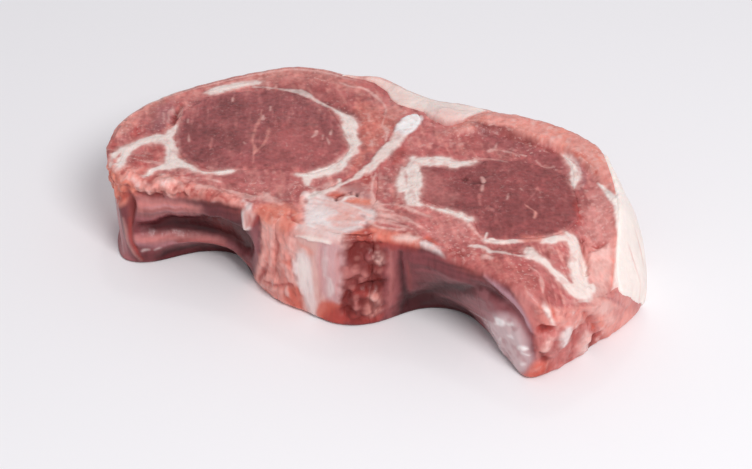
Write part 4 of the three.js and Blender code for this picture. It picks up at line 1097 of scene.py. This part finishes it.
def paint_back(points):
    """Colours of the sides and back: a thin skin of fat with muscle showing through, and the
    sheet of fat on the right with pink streaks down its outer side."""
    colour = np.broadcast_to(TISSUE["blush"], points.shape)
    colour = lay(colour, "fat", ease(-0.3, 0.4, uneven(points, 10, 51)))
    colour = lay(colour, "pink", 0.8 * ease(0.15, 0.5, uneven(points, 8, 52)))
    sheet = ease(-0.8, 0.8, sheet_depth(points))
    streaks = ease(0.0, 0.4, uneven(points * [0, 1, 0.06], 2.6, 55)) * ease(34, 38, points[..., 1])
    streaks = streaks * ease(30, 24, points[..., 2])
    colour = lay(colour, "cream", sheet)
    colour = lay(colour, "rosy", 0.6 * sheet * streaks)
    return mottled(colour, points, 53, 0.8 * sheet)


print("colour of the back:", paint_back(np.array([[0.0, 80.0, 20.0]])))

# %% [markdown]
# A grid of points becomes a mesh the same way for every piece: four corners make a face, rows
# close on themselves, and columns that meet in one point are merged there. Whole arrays go into
# the mesh at once, with one painted colour for each vertex.

# %% Grids to meshes
def gathered(column):
    """A column of points drawn together into their mean."""
    return np.broadcast_to(column.mean(axis=1, keepdims=True), column.shape)


def gather_ends(grid):
    """Close a stack of rings: a column gathered into one point is put before and after it."""
    return np.concatenate([gathered(grid[:1]), grid, gathered(grid[-1:])])


def add_piece(name, grid, paint, material, node, wet=0.0):
    """Mesh from a grid of map points, columns x rows, whose rows close into rings. paint is a
    colour for each point and wet a share of smooth wet film. The volume, a sum of tetrahedra
    from the origin, tells whether the faces point outwards, and turns them if not."""
    columns, rows = grid.shape[:2]
    index = np.arange(columns * rows).reshape(columns, rows)
    a, b = index[:-1], index[1:]
    quads = np.stack([a, b, np.roll(b, -1, 1), np.roll(a, -1, 1)], -1).reshape(-1, 4)
    points = to_frame(grid).reshape(-1, 3)
    p, q, r, s = (points[quads[:, k]] for k in range(4))
    volume = np.einsum("ij,ij->i", p, np.cross(q, r) + np.cross(r, s)).sum() / 6
    if volume < 0:
        quads = quads[:, ::-1]
    mesh = bpy.data.meshes.new(name)
    mesh.vertices.add(len(points))
    mesh.vertices.foreach_set("co", points.ravel())
    mesh.loops.add(quads.size)
    mesh.loops.foreach_set("vertex_index", np.ascontiguousarray(quads).ravel())
    mesh.polygons.add(len(quads))
    mesh.polygons.foreach_set("loop_start", np.arange(0, quads.size, 4))
    mesh.update(calc_edges=True)
    rgba = np.concatenate([paint, np.ones((columns, rows, 1))], -1)
    layer = mesh.attributes.new("paint", "FLOAT_COLOR", "POINT")
    layer.data.foreach_set("color", np.ascontiguousarray(rgba, np.float32).ravel())
    layer = mesh.attributes.new("wet", "FLOAT", "POINT")
    share = wet + np.zeros((columns, rows, 1))
    layer.data.foreach_set("value", np.ascontiguousarray(share, np.float32).ravel())
    work = bmesh.new()
    work.from_mesh(mesh)
    bmesh.ops.remove_doubles(work, verts=work.verts, dist=1e-7)
    bmesh.ops.dissolve_degenerate(work, edges=work.edges, dist=1e-8)
    bmesh.ops.delete(work, geom=[e for e in work.edges if not e.link_faces], context="EDGES")
    for face in work.faces:
        face.smooth = True
    work.to_mesh(mesh)
    work.free()
    piece = bpy.data.objects.new(name, mesh)
    bpy.context.scene.collection.objects.link(piece)
    mesh.materials.append(material)
    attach(piece, "root")
    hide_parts(node)
    print(f"{name}: {len(mesh.polygons)} faces, {abs(volume) * 1e6:.1f} cm3")
    return piece


# %% [markdown]
# Raw muscle is wet protein gel: light enters it, scatters for a millimetre and comes back red,
# and a film of water on top gives small sharp glints. A Principled shader with subsurface light
# and a coat of water does both, and pale flecks on patches that face up are painted glints. Fat
# and bone take the same tree with less grain. The grain is finer than the mesh, so it is a
# pattern in the shader: bundles of fibres that run through the slice, cut across on the face
# and drawn out into streaks on the wall. Real bundles are about a millimetre across; they are
# drawn about twice as coarse, so that they show.

# %% One function adds a node
def add(tree, kind, sockets=None, **settings):
    """Add one node: settings are its properties; a socket given another socket is linked to it,
    and any other value is set on it."""
    node = tree.nodes.new("ShaderNode" + kind)
    for name, value in settings.items():
        setattr(node, name, value)
    for socket, value in (sockets or {}).items():
        if isinstance(value, bpy.types.NodeSocket):
            tree.links.new(value, node.inputs[socket])
        else:
            node.inputs[socket].default_value = value
    return node


def per_metre(size_mm):
    """Texture scale at which one cell of a pattern is size_mm long."""
    return 1000.0 / size_mm


print("scale of a pattern of 2 mm:", per_metre(2))

# %% Materials of the tissues
SPECK_MM, PATCH_MM = 1.2, 12  # size of the finest specks, and of the patches that they come in
DRAWN_OUT = 0.3  # share of a pattern's rate that is left along the fibres, which run up
BUMP_DEPTH = 0.0004  # m
LIGHT_DEPTH = 0.0012  # m that light scatters inside the tissue, most of it red


def tissue_material(name, bundle_mm, grain, roughness, inside, coat, sparkle=0.0):
    """Painted tissue: vertex paint, made lighter and darker by fibre bundles and fine specks,
    with the same pattern as bumps; grain is its strength and inside the share of light that
    scatters in the tissue. sparkle is the strength of painted glints: pale flecks in patches
    that face up. A wet film is smoother and glossier."""
    material = bpy.data.materials.new(name)
    material.use_nodes = True
    tree = material.node_tree
    tree.nodes.clear()
    place = add(tree, "TexCoord").outputs["Object"]
    drawn = add(tree, "Mapping", {"Vector": place, "Scale": (1, 1, DRAWN_OUT)}).outputs[0]
    paint = add(tree, "Attribute", attribute_name="paint").outputs["Color"]
    wet = add(tree, "Attribute", attribute_name="wet").outputs["Fac"]
    bundle = add(tree, "TexVoronoi", {"Vector": drawn, "Scale": per_metre(bundle_mm)},
                 feature="SMOOTH_F1")
    fine = add(tree, "TexNoise", {
        "Vector": drawn, "Scale": per_metre(SPECK_MM), "Detail": 2.0}).outputs[0]
    both = add(tree, "Math", {0: bundle.outputs["Distance"], 1: fine}, operation="ADD").outputs[0]
    strength = add(tree, "MapRange", {0: wet, 3: grain, 4: 0.1 * grain}).outputs[0]
    level = add(tree, "MapRange", {0: both, 1: 0.5, 2: 1.35, 3: -1.0, 4: 1.0}).outputs[0]
    level = add(tree, "Math", {0: level, 1: strength, 2: 0.5}, operation="MULTIPLY_ADD").outputs[0]
    colour = add(tree, "Mix", {0: 1.0, 6: paint, 7: level},
                 data_type="RGBA", blend_type="SOFT_LIGHT").outputs[2]
    # Painted glints: pale flecks in patches, only where the surface faces up.
    fleck = add(tree, "TexNoise", {
        "Vector": place, "Scale": per_metre(SPECK_MM), "Detail": 1.0}).outputs[0]
    patch = add(tree, "TexNoise", {
        "Vector": place, "Scale": per_metre(PATCH_MM), "Detail": 1.0}).outputs[0]
    fleck = add(tree, "MapRange", {0: fleck, 1: 0.58, 2: 0.72, 3: 0.0, 4: sparkle}).outputs[0]
    upward = add(tree, "SeparateXYZ", {0: add(tree, "NewGeometry").outputs["Normal"]}).outputs[2]
    upward = add(tree, "MapRange", {0: upward, 1: 0.5, 2: 0.8}).outputs[0]
    patch = add(tree, "MapRange", {0: patch, 1: 0.42, 2: 0.62}).outputs[0]
    flecks = add(tree, "Math", {0: fleck, 1: patch}, operation="MULTIPLY").outputs[0]
    flecks = add(tree, "Math", {0: flecks, 1: upward}, operation="MULTIPLY").outputs[0]
    colour = add(tree, "Mix", {0: flecks, 6: colour, 7: linear("#f0c6be")},
                 data_type="RGBA").outputs[2]
    rough = add(tree, "MapRange", {0: wet, 3: roughness, 4: 0.2}).outputs[0]
    firm = add(tree, "MapRange", {0: wet, 3: 0.6, 4: 0.08}).outputs[0]
    bump = add(tree, "Bump", {"Height": both, "Strength": firm, "Distance": BUMP_DEPTH}).outputs[0]
    shader = add(tree, "BsdfPrincipled", {
        "Base Color": colour, "Roughness": rough, "Normal": bump, "Specular IOR Level": 0.2,
        "Subsurface Weight": inside, "Subsurface Radius": (1.0, 0.4, 0.3),
        "Subsurface Scale": LIGHT_DEPTH, "Coat Weight": coat, "Coat Roughness": 0.1})
    add(tree, "OutputMaterial", {"Surface": shader.outputs[0]})
    return material


# Muscle cut with a knife: grainy and moist, with painted glints, pale flecks on patches that face up.
LEAN = tissue_material("raw lamb muscle", 2.2, 0.14, 0.45, 0.1, 0.1, 0.35)
# The eye is finer muscle: a calmer, more even cut with fewer painted glints.
EYE = tissue_material("raw loin muscle", 1.7, 0.12, 0.45, 0.1, 0.12, 0.15)
# Fat between the muscles: waxy and smooth, and light shines a little way through it.
SEAM_FAT = tissue_material("seam fat", 3.0, 0.03, 0.45, 0.2, 0.06)
# Fat under the skin: as waxy, duller, with broad soft unevenness.
OUTER_FAT = tissue_material("outer fat", 4.0, 0.03, 0.5, 0.2, 0.05)
# Bone cut with a saw: dense and chalky, with a faint wet gloss.
BONE = tissue_material("sawn bone", 2.0, 0.05, 0.42, 0.1, 0.06)
print("materials:", LEAN.name, EYE.name, SEAM_FAT.name, OUTER_FAT.name, BONE.name)

# %% [markdown]
# The lean is everything between the eyes, the bone and the fat: a skin of sections from the left
# end to the right end. Each section climbs the front wall, crosses the face, goes down the back
# and returns underneath. Columns are spaced evenly along the rim, so the round ends are as fine
# as the middle. The backbone parts the meat, so the skin is cut there into two halves, each closed
# at the cut, which leaves enough faces for fine detail. At the two outer tips the rows of front and
# back meet without being joined. Where another tissue lies, the lean sinks below it.

# %% Form of the lean
COLUMNS = 780
FACE_ROWS, BOTTOM_ROWS = 150, 12
BOTTOM_LIFT = 0.25  # mm; the eyes and the bone reach the floor, and the lean stops just above it


def steps(places, counts):
    """Shares through the given places, with a count of even steps from each to the next."""
    stretches = zip(places[:-1], places[1:], counts)
    return np.concatenate([places[:1], *(np.linspace(a, b, n + 1)[1:] for a, b, n in stretches)])


def even_columns(count):
    """Column places from 0 to 1 with equal steps of length along the upper rim's two sides."""
    share = np.linspace(0, 1, RIM_STEPS)
    sides = [curve(TOP_LOOP, share / 2, True), curve(TOP_LOOP, 1 - share / 2, True)]
    length = path_length(np.concatenate(sides, -1))
    return np.interp(np.linspace(0, length[-1], count + 1), length, share)


front_heights = steps([0, 0.05, 0.85, 1], [3, 43, 17])
back_heights = steps([0, 0.8, 1], [11, 13])[::-1]
face_shares = np.linspace(0, 1, FACE_ROWS)[1:-1]
bottom_shares = np.linspace(0, 1, BOTTOM_ROWS)[1:-1]
column = even_columns(COLUMNS)[:, None]
front = wall(column / 2, front_heights[None])
back = wall(1 - column / 2, back_heights[None])
face = mix(front[:, -1:], back[:, :1], face_shares[None, :, None])
face[..., 2] = face_height(face[..., 0], face[..., 1])
bottom = mix(back[:, -1:], front[:, :1], bottom_shares[None, :, None])
bottom[..., 2] = BOTTOM_LIFT
print("lean rows:", front.shape[1], face.shape[1], back.shape[1], bottom.shape[1])

# %% [markdown]
# The lean's colours come from three paintings: the wall in front, the skin of fat behind and the
# cut face above. Near each rim one runs over into the next. The lower face is the same cut seen
# from below, moved back as far as the muscles slant. A film of water lies on the smooth hollows.

# %% Colours and wet film of the lean
SLANT = 0.1  # the muscles run this much further back for each millimetre down


def paint_at(points):
    """Colours of the cut face at the x and y of points."""
    return paint_face(points[..., 0], points[..., 1])


run, map_z = np.broadcast_arrays(rim_run(column / 2), THICKNESS * front_heights[None])
left_end = ease(-92, -106, run + 5 * uneven(front, 6, 86))
front_paint = mix(paint_wall(run, map_z, front), paint_back(front), left_end[..., None])
front_paint = mix(front_paint, paint_at(front), ease(0.93, 1.0, front_heights)[None, :, None])
on_shoulder = right_end(curve(TOP_LOOP, column / 2, True)[..., 0])
over_rim = mix(back_heights[None], shoulder_in(back_heights[None]), on_shoulder)
skin_from = mix(0.975, 0.9, ease(0, 40, back[..., 0]))
back_paint = mix(paint_back(back), paint_at(back), ease(skin_from, 1.0, over_rim)[..., None])
skin_edge = ease(0.972, 0.995, face_shares)[None] * ease(-20, -40, face[..., 0])
skin_edge = skin_edge * ease(-90, -80, face[..., 0])
face_paint = lay(paint_at(face), "blush", 0.8 * skin_edge)
bottom_paint = paint_at(bottom - [0, SLANT * THICKNESS, 0])
smooth = np.clip(1 - roughness_of(run, map_z), 0, 1) * (1 - on_vertebra(run))
moist = 0.4 * smooth * before_flank(run) * ease(33, 28, map_z)
front_wet = np.maximum(film_share(run, map_z), moist)
print("wettest share of the front:", front_wet.max())

# %% The two halves of the lean
BEHIND_BONE = 1.4  # mm that the lean's front steps back behind the vertebra


def rows_joined(*grids):
    """Grids with the same columns, their rows one after another."""
    return np.concatenate(grids, axis=1)


def sink_under(x, y):
    """How far the lean drops under the eyes and the backbone, in mm."""
    return 1.2 * ease(0.1, 1.5, np.maximum(eye_depth(x, y), band_depth(x, y, BACKBONE)))


face[..., 2] -= sink_under(face[..., 0], face[..., 1])
beside_bone = np.abs(front[..., 0] - BONE_MIDDLE)
front[..., 1] += BEHIND_BONE * ease(16.6, 14.6, beside_bone) * ease(1, 0.92, front_heights)
parted = beside_bone[:, -1].argmin()
dry = np.zeros((COLUMNS + 1, face.shape[1] + back.shape[1] + bottom.shape[1]))
layers = [rows_joined(front, face, back, bottom),
          rows_joined(front_paint, face_paint, back_paint, bottom_paint),
          rows_joined(front_wet, dry)[..., None]]
left = [np.concatenate([part[:parted + 1], gathered(part[parted:parted + 1])]) for part in layers]
right = [np.concatenate([gathered(part[parted:parted + 1]), part[parted:]]) for part in layers]
for name, (grid, paint, film) in {"left_lean_muscle": left, "right_lean_muscle": right}.items():
    add_piece(name, grid, paint, LEAN, "lean", film)

# %% [markdown]
# Each eye is one muscle, so it is a plug of its own that runs through the slice. A polar grid
# fits it: rings from the middle out to the border, a wall down, and rings back to the middle
# underneath. The border dips just below the lean, which leaves a fine line between two muscles.

# %% The two eyes
EYE_RINGS, EYE_SPOKES = 74, 430
SIDE_RINGS, BOTTOM_RINGS = 6, 12
EYE_LIFT = 0.12  # mm that an eye stands above the face
BORDER_DIP, BORDER_WIDTH = 0.6, 0.5  # depth and width of the fine line round an eye, mm


def eye_plug(name, landmarks, node):
    """Rings from the middle (0) to the border (1) on the face, down the side, and back below."""
    ring = curve(landmarks, np.arange(EYE_SPOKES + 1) / EYE_SPOKES, closed=True)
    middle = ring[:-1].mean(axis=0)
    reach = np.linalg.norm(ring - middle, axis=1, keepdims=True)
    ring = ring + 0.4 * uneven(flat(*ring.T), 3.5, 61)[:, None] * (ring - middle) / reach
    out = np.linspace(0, 1, EYE_RINGS) ** 0.8
    top = mix(middle, ring[:, None], out[None, :, None])
    to_border = (1 - out)[None] * reach
    height = face_height(top[..., 0], top[..., 1]) + EYE_LIFT
    height = height - BORDER_DIP * hump(to_border / BORDER_WIDTH)
    side = np.broadcast_to(ring[:, None], (len(ring), SIDE_RINGS, 2))
    side_level = np.broadcast_to(THICKNESS * np.linspace(0.9, 0.03, SIDE_RINGS), side.shape[:2])
    low = mix(middle, ring[:, None], np.linspace(0.98, 0, BOTTOM_RINGS)[None, :, None])
    place = rows_joined(top, side, low)
    level = rows_joined(height, side_level, np.zeros(low.shape[:2]))
    below_face = np.arange(level.shape[1]) >= EYE_RINGS
    slant = SLANT * np.maximum(0, THICKNESS - level) * below_face
    grid = np.stack([place[..., 0], place[..., 1] + slant, level], -1)
    return add_piece(name, grid, paint_at(place), EYE, node)


eye_plug("left_eye_muscle", EYE_LEFT, "eye_left")
eye_plug("right_eye_muscle", EYE_RIGHT, "eye_right")

# %% [markdown]
# The backbone is sawn through: a broad vertebra in front, which narrows into the blade that runs
# to the back. One grid covers it. Columns lie side by side across it; rows climb its front,
# follow the blade over the face to its tip, drop down inside the meat and return below.

# %% Form of the backbone
BONE_COLUMNS, BLADE_ROWS, BELOW_ROWS = 120, 190, 26
BONE_HALF = 17.6  # half the width of the vertebra, mm
BLADE_TIP = 67.4  # y of the blade's far end
TIP_LEVELS = [26, 17, 8, 0]  # heights of the rows that drop down at the tip, mm


def rim_place(x, start, end):
    """Where x lies on the upper rim, between two of its places, by looking it up on the curve."""
    places = np.linspace(start, end, RIM_STEPS)
    along = curve(TOP_LOOP, places, True)[:, 0]
    order = np.sign(along[-1] - along[0])
    return np.interp(order * x, order * along, places)


def spine_at(y):
    """Middle and half width of the backbone at y, both in mm."""
    spine = curve(BACKBONE, np.linspace(0, 1, 400))
    middle, width = (np.interp(y, spine[:, 1], spine[:, k]) for k in (0, 2))
    return middle, width / 2


across = np.linspace(-1, 1, BONE_COLUMNS)[:, None]
climb = steps([0, 0.06, 0.9, 1], [4, 61, 9])
bone_x = BONE_MIDDLE + BONE_HALF * across
bone_front = wall(rim_place(bone_x, 0, 0.5), climb[None])
edge_dip = np.abs(across) ** 14
bone_front[..., 1] -= (0.4 - 2.0 * edge_dip) * ease(0, 0.05, climb)[None]
onward = np.linspace(0, 1, BLADE_ROWS)[None, 1:]
blade_y = mix(bone_front[:, -1:, 1], BLADE_TIP, onward)
blade_middle, blade_half = spine_at(blade_y)
blade_half = np.minimum(blade_half + 0.5, BONE_HALF) * np.sqrt(1 - onward**30)
blade_x = blade_middle + across * blade_half
blade_z = face_height(blade_x, blade_y) + 0.15 - 1.6 * edge_dip
blade = np.stack([blade_x, blade_y, blade_z], -1)
tip = np.repeat(blade[:, -1:], len(TIP_LEVELS), axis=1)
tip[..., 2] = TIP_LEVELS
below = mix(tip[:, -1:], bone_front[:, :1], np.linspace(0, 1, BELOW_ROWS)[None, 1:-1, None])
below_middle, below_half = spine_at(below[..., 1])
below[..., 0] = below_middle + across * np.minimum(below_half, BONE_HALF)
print("backbone rows:", bone_front.shape[1], blade.shape[1], tip.shape[1], below.shape[1])

# %% Colours of the backbone
bone_map = np.broadcast_arrays(bone_x, THICKNESS * climb[None])
bone_rest = rows_joined(blade, tip, below)
bone_paint = rows_joined(paint_wall(*bone_map, bone_front), paint_at(bone_rest))
bone_grid = rows_joined(bone_front, bone_rest)
add_piece("sawn_backbone", gather_ends(bone_grid), gather_ends(bone_paint), BONE, "backbone")

# %% [markdown]
# The fat seams between muscles are curtains that run down through the slice; on the cut face
# each shows as a ribbon. A ribbon is a low arch carried along the same line as its stroke. It is
# a little narrower than the stroke, so the painted edge stays ragged and the arch gives the
# swelling of soft fat.

# %% Fat seams
ARCH = np.linspace(-1, 1, 13)
ARCH_RISE, ARCH_SUNK = 0.3, 0.14  # mm
CURTAIN_LEVELS = np.array([24.0, 12, 0, 0, 12, 24])  # heights down one side and up the other, mm
CURTAIN_SIDES = [-1, -1, -1, 0, 0, 0]  # the arch's last point, then its first


def seam_ribbon(name, landmarks, node):
    """Arch of height rise (1 - q^2) across each place of the centreline, with uneven sides, then
    straight down to the lower face and back up."""
    along = np.linspace(0, 1, 20 * (len(landmarks) - 1) + 1)
    line = curve(landmarks, along)
    forward = np.gradient(line[:, :2], axis=0)
    forward /= np.linalg.norm(forward, axis=1, keepdims=True)
    sideways = np.stack([-forward[:, 1], forward[:, 0]], -1)
    taper = np.sqrt(np.maximum(1 - (2 * along - 1) ** 20, 0))
    sway = 0.7 + 0.5 * uneven(flat(line[:, 0], line[:, 1]), 2.6, 71)
    half = np.maximum(line[:, 2] / 2 * sway, 0.1) * taper
    top = line[:, None, :2] + sideways[:, None] * (ARCH[None] * half[:, None])[..., None]
    x, y = top[..., 0], top[..., 1]
    arch = ARCH_RISE * (1 - ARCH[None] ** 2) - ARCH_SUNK - 1.0 * (1 - taper[:, None])
    ribbon = np.stack([x, y, face_height(x, y) + arch], -1)
    low_x = x[:, CURTAIN_SIDES]
    low_y = y[:, CURTAIN_SIDES] + SLANT * (THICKNESS - CURTAIN_LEVELS)
    curtain = np.stack([low_x, low_y, np.broadcast_to(CURTAIN_LEVELS, low_x.shape)], -1)
    grid = rows_joined(ribbon, curtain)
    paint = rows_joined(paint_face(x, y), np.broadcast_to(TISSUE["fat"], curtain.shape))
    add_piece(name, gather_ends(grid), gather_ends(paint), SEAM_FAT, node)


for seam, landmarks in SEAMS.items():
    seam_ribbon("ribbon_" + seam, landmarks, "seam_" + seam)

# %% [markdown]
# Smooth white fat covers the animal's back. It shows as a saddle over the spine and as a sheet
# down the right-hand wall. Both are skins laid over the slice: they follow its surface a little
# proud of it and dip under it at their borders.

# %% Form of the fat over the spine
SADDLE_EDGE = np.array([
    [-38, 83], [-34, 80.8], [-27, 79.6], [-20, 78.4], [-16, 76.4], [-12.6, 72.4], [-9, 69.6],
    [-4, 69.4], [1, 69.2], [4, 66.6], [7, 65.2], [10, 64.6], [13, 65.6], [16, 68], [17, 72],
    [20, 78.6], [25, 83],
])
SADDLE_COLUMNS, SADDLE_ROWS = 150, 44
SADDLE_LEFT, SADDLE_RIGHT = -38, 25
PROUD, FULLER, TUCKED = 2.4, 2.0, 2.0  # mm out from the wall, more in the middle, in at the ends
SADDLE_RISE = 1.3  # mm that its middle stands up
CORE_LEVELS = [1.0, 16, 30]  # heights of the rows that close it inside the meat, mm

saddle_x = np.linspace(SADDLE_LEFT, SADDLE_RIGHT, SADDLE_COLUMNS)[:, None]
drop = steps([1, 0.86, 0], [13, 21])
ends = ease(SADDLE_LEFT, -33, saddle_x) * ease(SADDLE_RIGHT, 21, saddle_x)
full = ease(-36, -18, saddle_x) * ease(24, 8, saddle_x)
saddle_back = wall(rim_place(saddle_x, 0.5, 1), drop[None])
saddle_back[..., 1] += (PROUD + FULLER * full * ease(0, 0.6, drop)) * ends - TUCKED
saddle_back[..., 2] += SADDLE_RISE * full * ease(0.8, 1.0, drop)
inner_y = np.interp(saddle_x, SADDLE_EDGE[:, 0], SADDLE_EDGE[:, 1])
inner_y = inner_y + 0.6 * uneven(flat(saddle_x, 0 * saddle_x), 4, 81)
inner_y = np.minimum(inner_y, saddle_back[:, :1, 1] - 0.2)
inner_edge = np.stack([saddle_back[:, :1, 0], inner_y, 0 * inner_y], -1)
saddle_face = mix(inner_edge, saddle_back[:, :1], np.linspace(0, 1, SADDLE_ROWS)[None, :-1, None])
x, y = saddle_face[..., 0], saddle_face[..., 1]
from_edge = y - inner_y
fold = 2.0 * hump(oval(x, y, 10, 69.5, 6.5, 4.2)) * ease(0, 2.2, from_edge)
saddle_face[..., 2] = face_height(x, y) + 0.5 - 1.6 * hump(from_edge / 0.8) + fold
saddle_face[..., 2] += SADDLE_RISE * full * ease(1, 8, from_edge) - 2.0 * (1 - ends)
core = np.stack([saddle_x, np.minimum(inner_y + 1, 80), 0 * saddle_x], -1)
core = np.repeat(core, len(CORE_LEVELS), axis=1)
core[..., 2] = CORE_LEVELS
saddle = rows_joined(saddle_face, saddle_back, core)
print("saddle rows:", saddle_face.shape[1], saddle_back.shape[1], core.shape[1])

# %% Colours of the fat over the spine
x, y, z = (saddle[..., k] for k in range(3))
saddle_paint = mix(TISSUE["cream"], TISSUE["blush"], np.full((*x.shape, 1), 0.2))
saddle_paint = lay(saddle_paint, "blush", 0.4 * ease(0.0, 0.6, uneven(saddle, 12, 82)))
lump = hump(oval(x, y, 10.5, 68.5, 6.5, 4.0)) * (z > 30)
saddle_paint = lay(saddle_paint, "blush", 0.6 * lump)
# Painted shade: a lilac line along the right part of the inner edge, under the fold.
saddle_paint = lay(saddle_paint, "haze", 0.8 * hump((y - inner_y) / 1.3) * ease(2, 6, x))
saddle_paint = lay(saddle_paint, "rosy", 0.5 * hump((y - inner_y) / 1.6))
saddle_paint = mottled(saddle_paint, saddle, 84, 0.85)
on_back = np.arange(saddle.shape[1]) >= saddle_face.shape[1]
patchy_x = saddle_x + 6 * uneven(saddle, 9, 85)
thin_skin = on_back * (1 - 0.6 * ease(-36, -12, patchy_x) * ease(23, 2, patchy_x))
saddle_paint = mix(saddle_paint, paint_back(saddle), thin_skin[..., None])
add_piece("back_fat", gather_ends(saddle), gather_ends(saddle_paint), OUTER_FAT, "fat_back")

# %% Fat down the right-hand wall
SHEET_COLUMNS, SHEET_ROWS = 210, 84
SHEET_START, SHEET_END = 0.487, 0.66  # its two ends as places on the rim
SHEET_LIFT, SHEET_SINK, SHEET_CORE = 0.8, 0.9, 6.0  # mm out, in at its border, and in at its back
FLESH_MIDDLE = np.array([60, 45, 0])  # a place inside the meat that the sheet sinks towards

sheet_place = np.linspace(SHEET_START, SHEET_END, SHEET_COLUMNS)[:, None]
sheet_heights = np.sin(np.linspace(0, np.pi / 2, SHEET_ROWS))[None]
bare_wall = wall(sheet_place, sheet_heights)
thick = ease(-0.6, 1.6, sheet_depth(bare_wall)) * ease(1.0, 0.9, shoulder_in(sheet_heights))
at_ends = ease(0.497, SHEET_START, sheet_place) + ease(0.65, SHEET_END, sheet_place)
sunk = 1 - ease(0, 0.4, thick) + 4 * at_ends
facing = np.cross(np.gradient(bare_wall, axis=0), np.gradient(bare_wall, axis=1))
facing /= np.maximum(np.linalg.norm(facing, axis=-1, keepdims=True), 1e-9)
inward = FLESH_MIDDLE - bare_wall * [1, 1, 0]
inward /= np.linalg.norm(inward, axis=-1, keepdims=True)
in_and_down = SHEET_SINK * (inward - np.array([0, 0, 1]) * ease(0, 12, bare_wall[..., 2:]))
proud = bare_wall + SHEET_LIFT * thick[..., None] * facing + sunk[..., None] * in_and_down
behind = (proud + SHEET_CORE * inward)[:, ::-16]
behind[..., 2] = np.clip(behind[..., 2], 1, 30)
sheet = rows_joined(proud, behind)
sheet_paint = rows_joined(paint_back(bare_wall), paint_back(behind))
add_piece("side_fat", gather_ends(sheet), gather_ends(sheet_paint), OUTER_FAT, "fat_right")

# %% [markdown]
# The setting is a plain pale floor, a soft sky and one broad lamp high at the front right, which
# gives the gentle shadow on the left. A small weak lamp behind on the left adds glints. The
# camera looks down from the front right with a long lens, as a food photographer stands back to
# keep the shape true.

# %% Floor and sky
FLOOR_HALF = 3  # m

floor_mesh = bpy.data.meshes.new("floor")
corners = [(FLOOR_HALF * x, FLOOR_HALF * y, 0) for x, y in ((-1, -1), (1, -1), (1, 1), (-1, 1))]
floor_mesh.from_pydata(corners, [], [(0, 1, 2, 3)])
floor = bpy.data.objects.new("floor", floor_mesh)
bpy.context.scene.collection.objects.link(floor)
board = bpy.data.materials.new("matt white board")
board.use_nodes = True
board_shader = board.node_tree.nodes["Principled BSDF"]
board_shader.inputs["Base Color"].default_value = linear("#f3f1f3")
board_shader.inputs["Roughness"].default_value = 0.9
floor_mesh.materials.append(board)

world = bpy.data.worlds.new("soft sky")
bpy.context.scene.world = world
world.use_nodes = True
sky = world.node_tree.nodes["Background"]
sky.inputs["Color"].default_value = linear("#fbfbff")
sky.inputs["Strength"].default_value = 0.52
print("floor half width in m:", FLOOR_HALF)

# %% Lamps and camera
LAMPS = {  # width in m, power in W, place in m
    "key": (0.5, 7.8, (0.6, -0.45, 0.85)),
    "glint": (0.12, 0.4, (-0.2, 0.42, 0.95)),
}
CAMERA_PLACE = (0.235863, -0.515226, 0.449893)  # m
CAMERA_AIM = (-0.3295, 0.7134, -0.6188)  # the direction that it looks in
LENS, SENSOR = 100, 36  # mm


def aim(thing, direction):
    """Turn an object so that its own -Z points along a direction, with +Y up."""
    thing.rotation_euler = Vector(direction).to_track_quat("-Z", "Y").to_euler()


for name, (width, power, place) in LAMPS.items():
    lamp = bpy.data.lights.new(name, "AREA")
    lamp.shape = "DISK"
    lamp.size = width
    lamp.energy = power
    lamp_object = bpy.data.objects.new(name, lamp)
    lamp_object.location = place
    aim(lamp_object, -Vector(place))
    bpy.context.scene.collection.objects.link(lamp_object)

lens = bpy.data.cameras.new("camera")
lens.lens = LENS
lens.sensor_width = SENSOR
camera = bpy.data.objects.new("camera", lens)
camera.location = CAMERA_PLACE
aim(camera, CAMERA_AIM)
bpy.context.scene.collection.objects.link(camera)
bpy.context.scene.camera = camera
bpy.context.scene.view_settings.view_transform = "Standard"
print("camera at", tuple(camera.location))
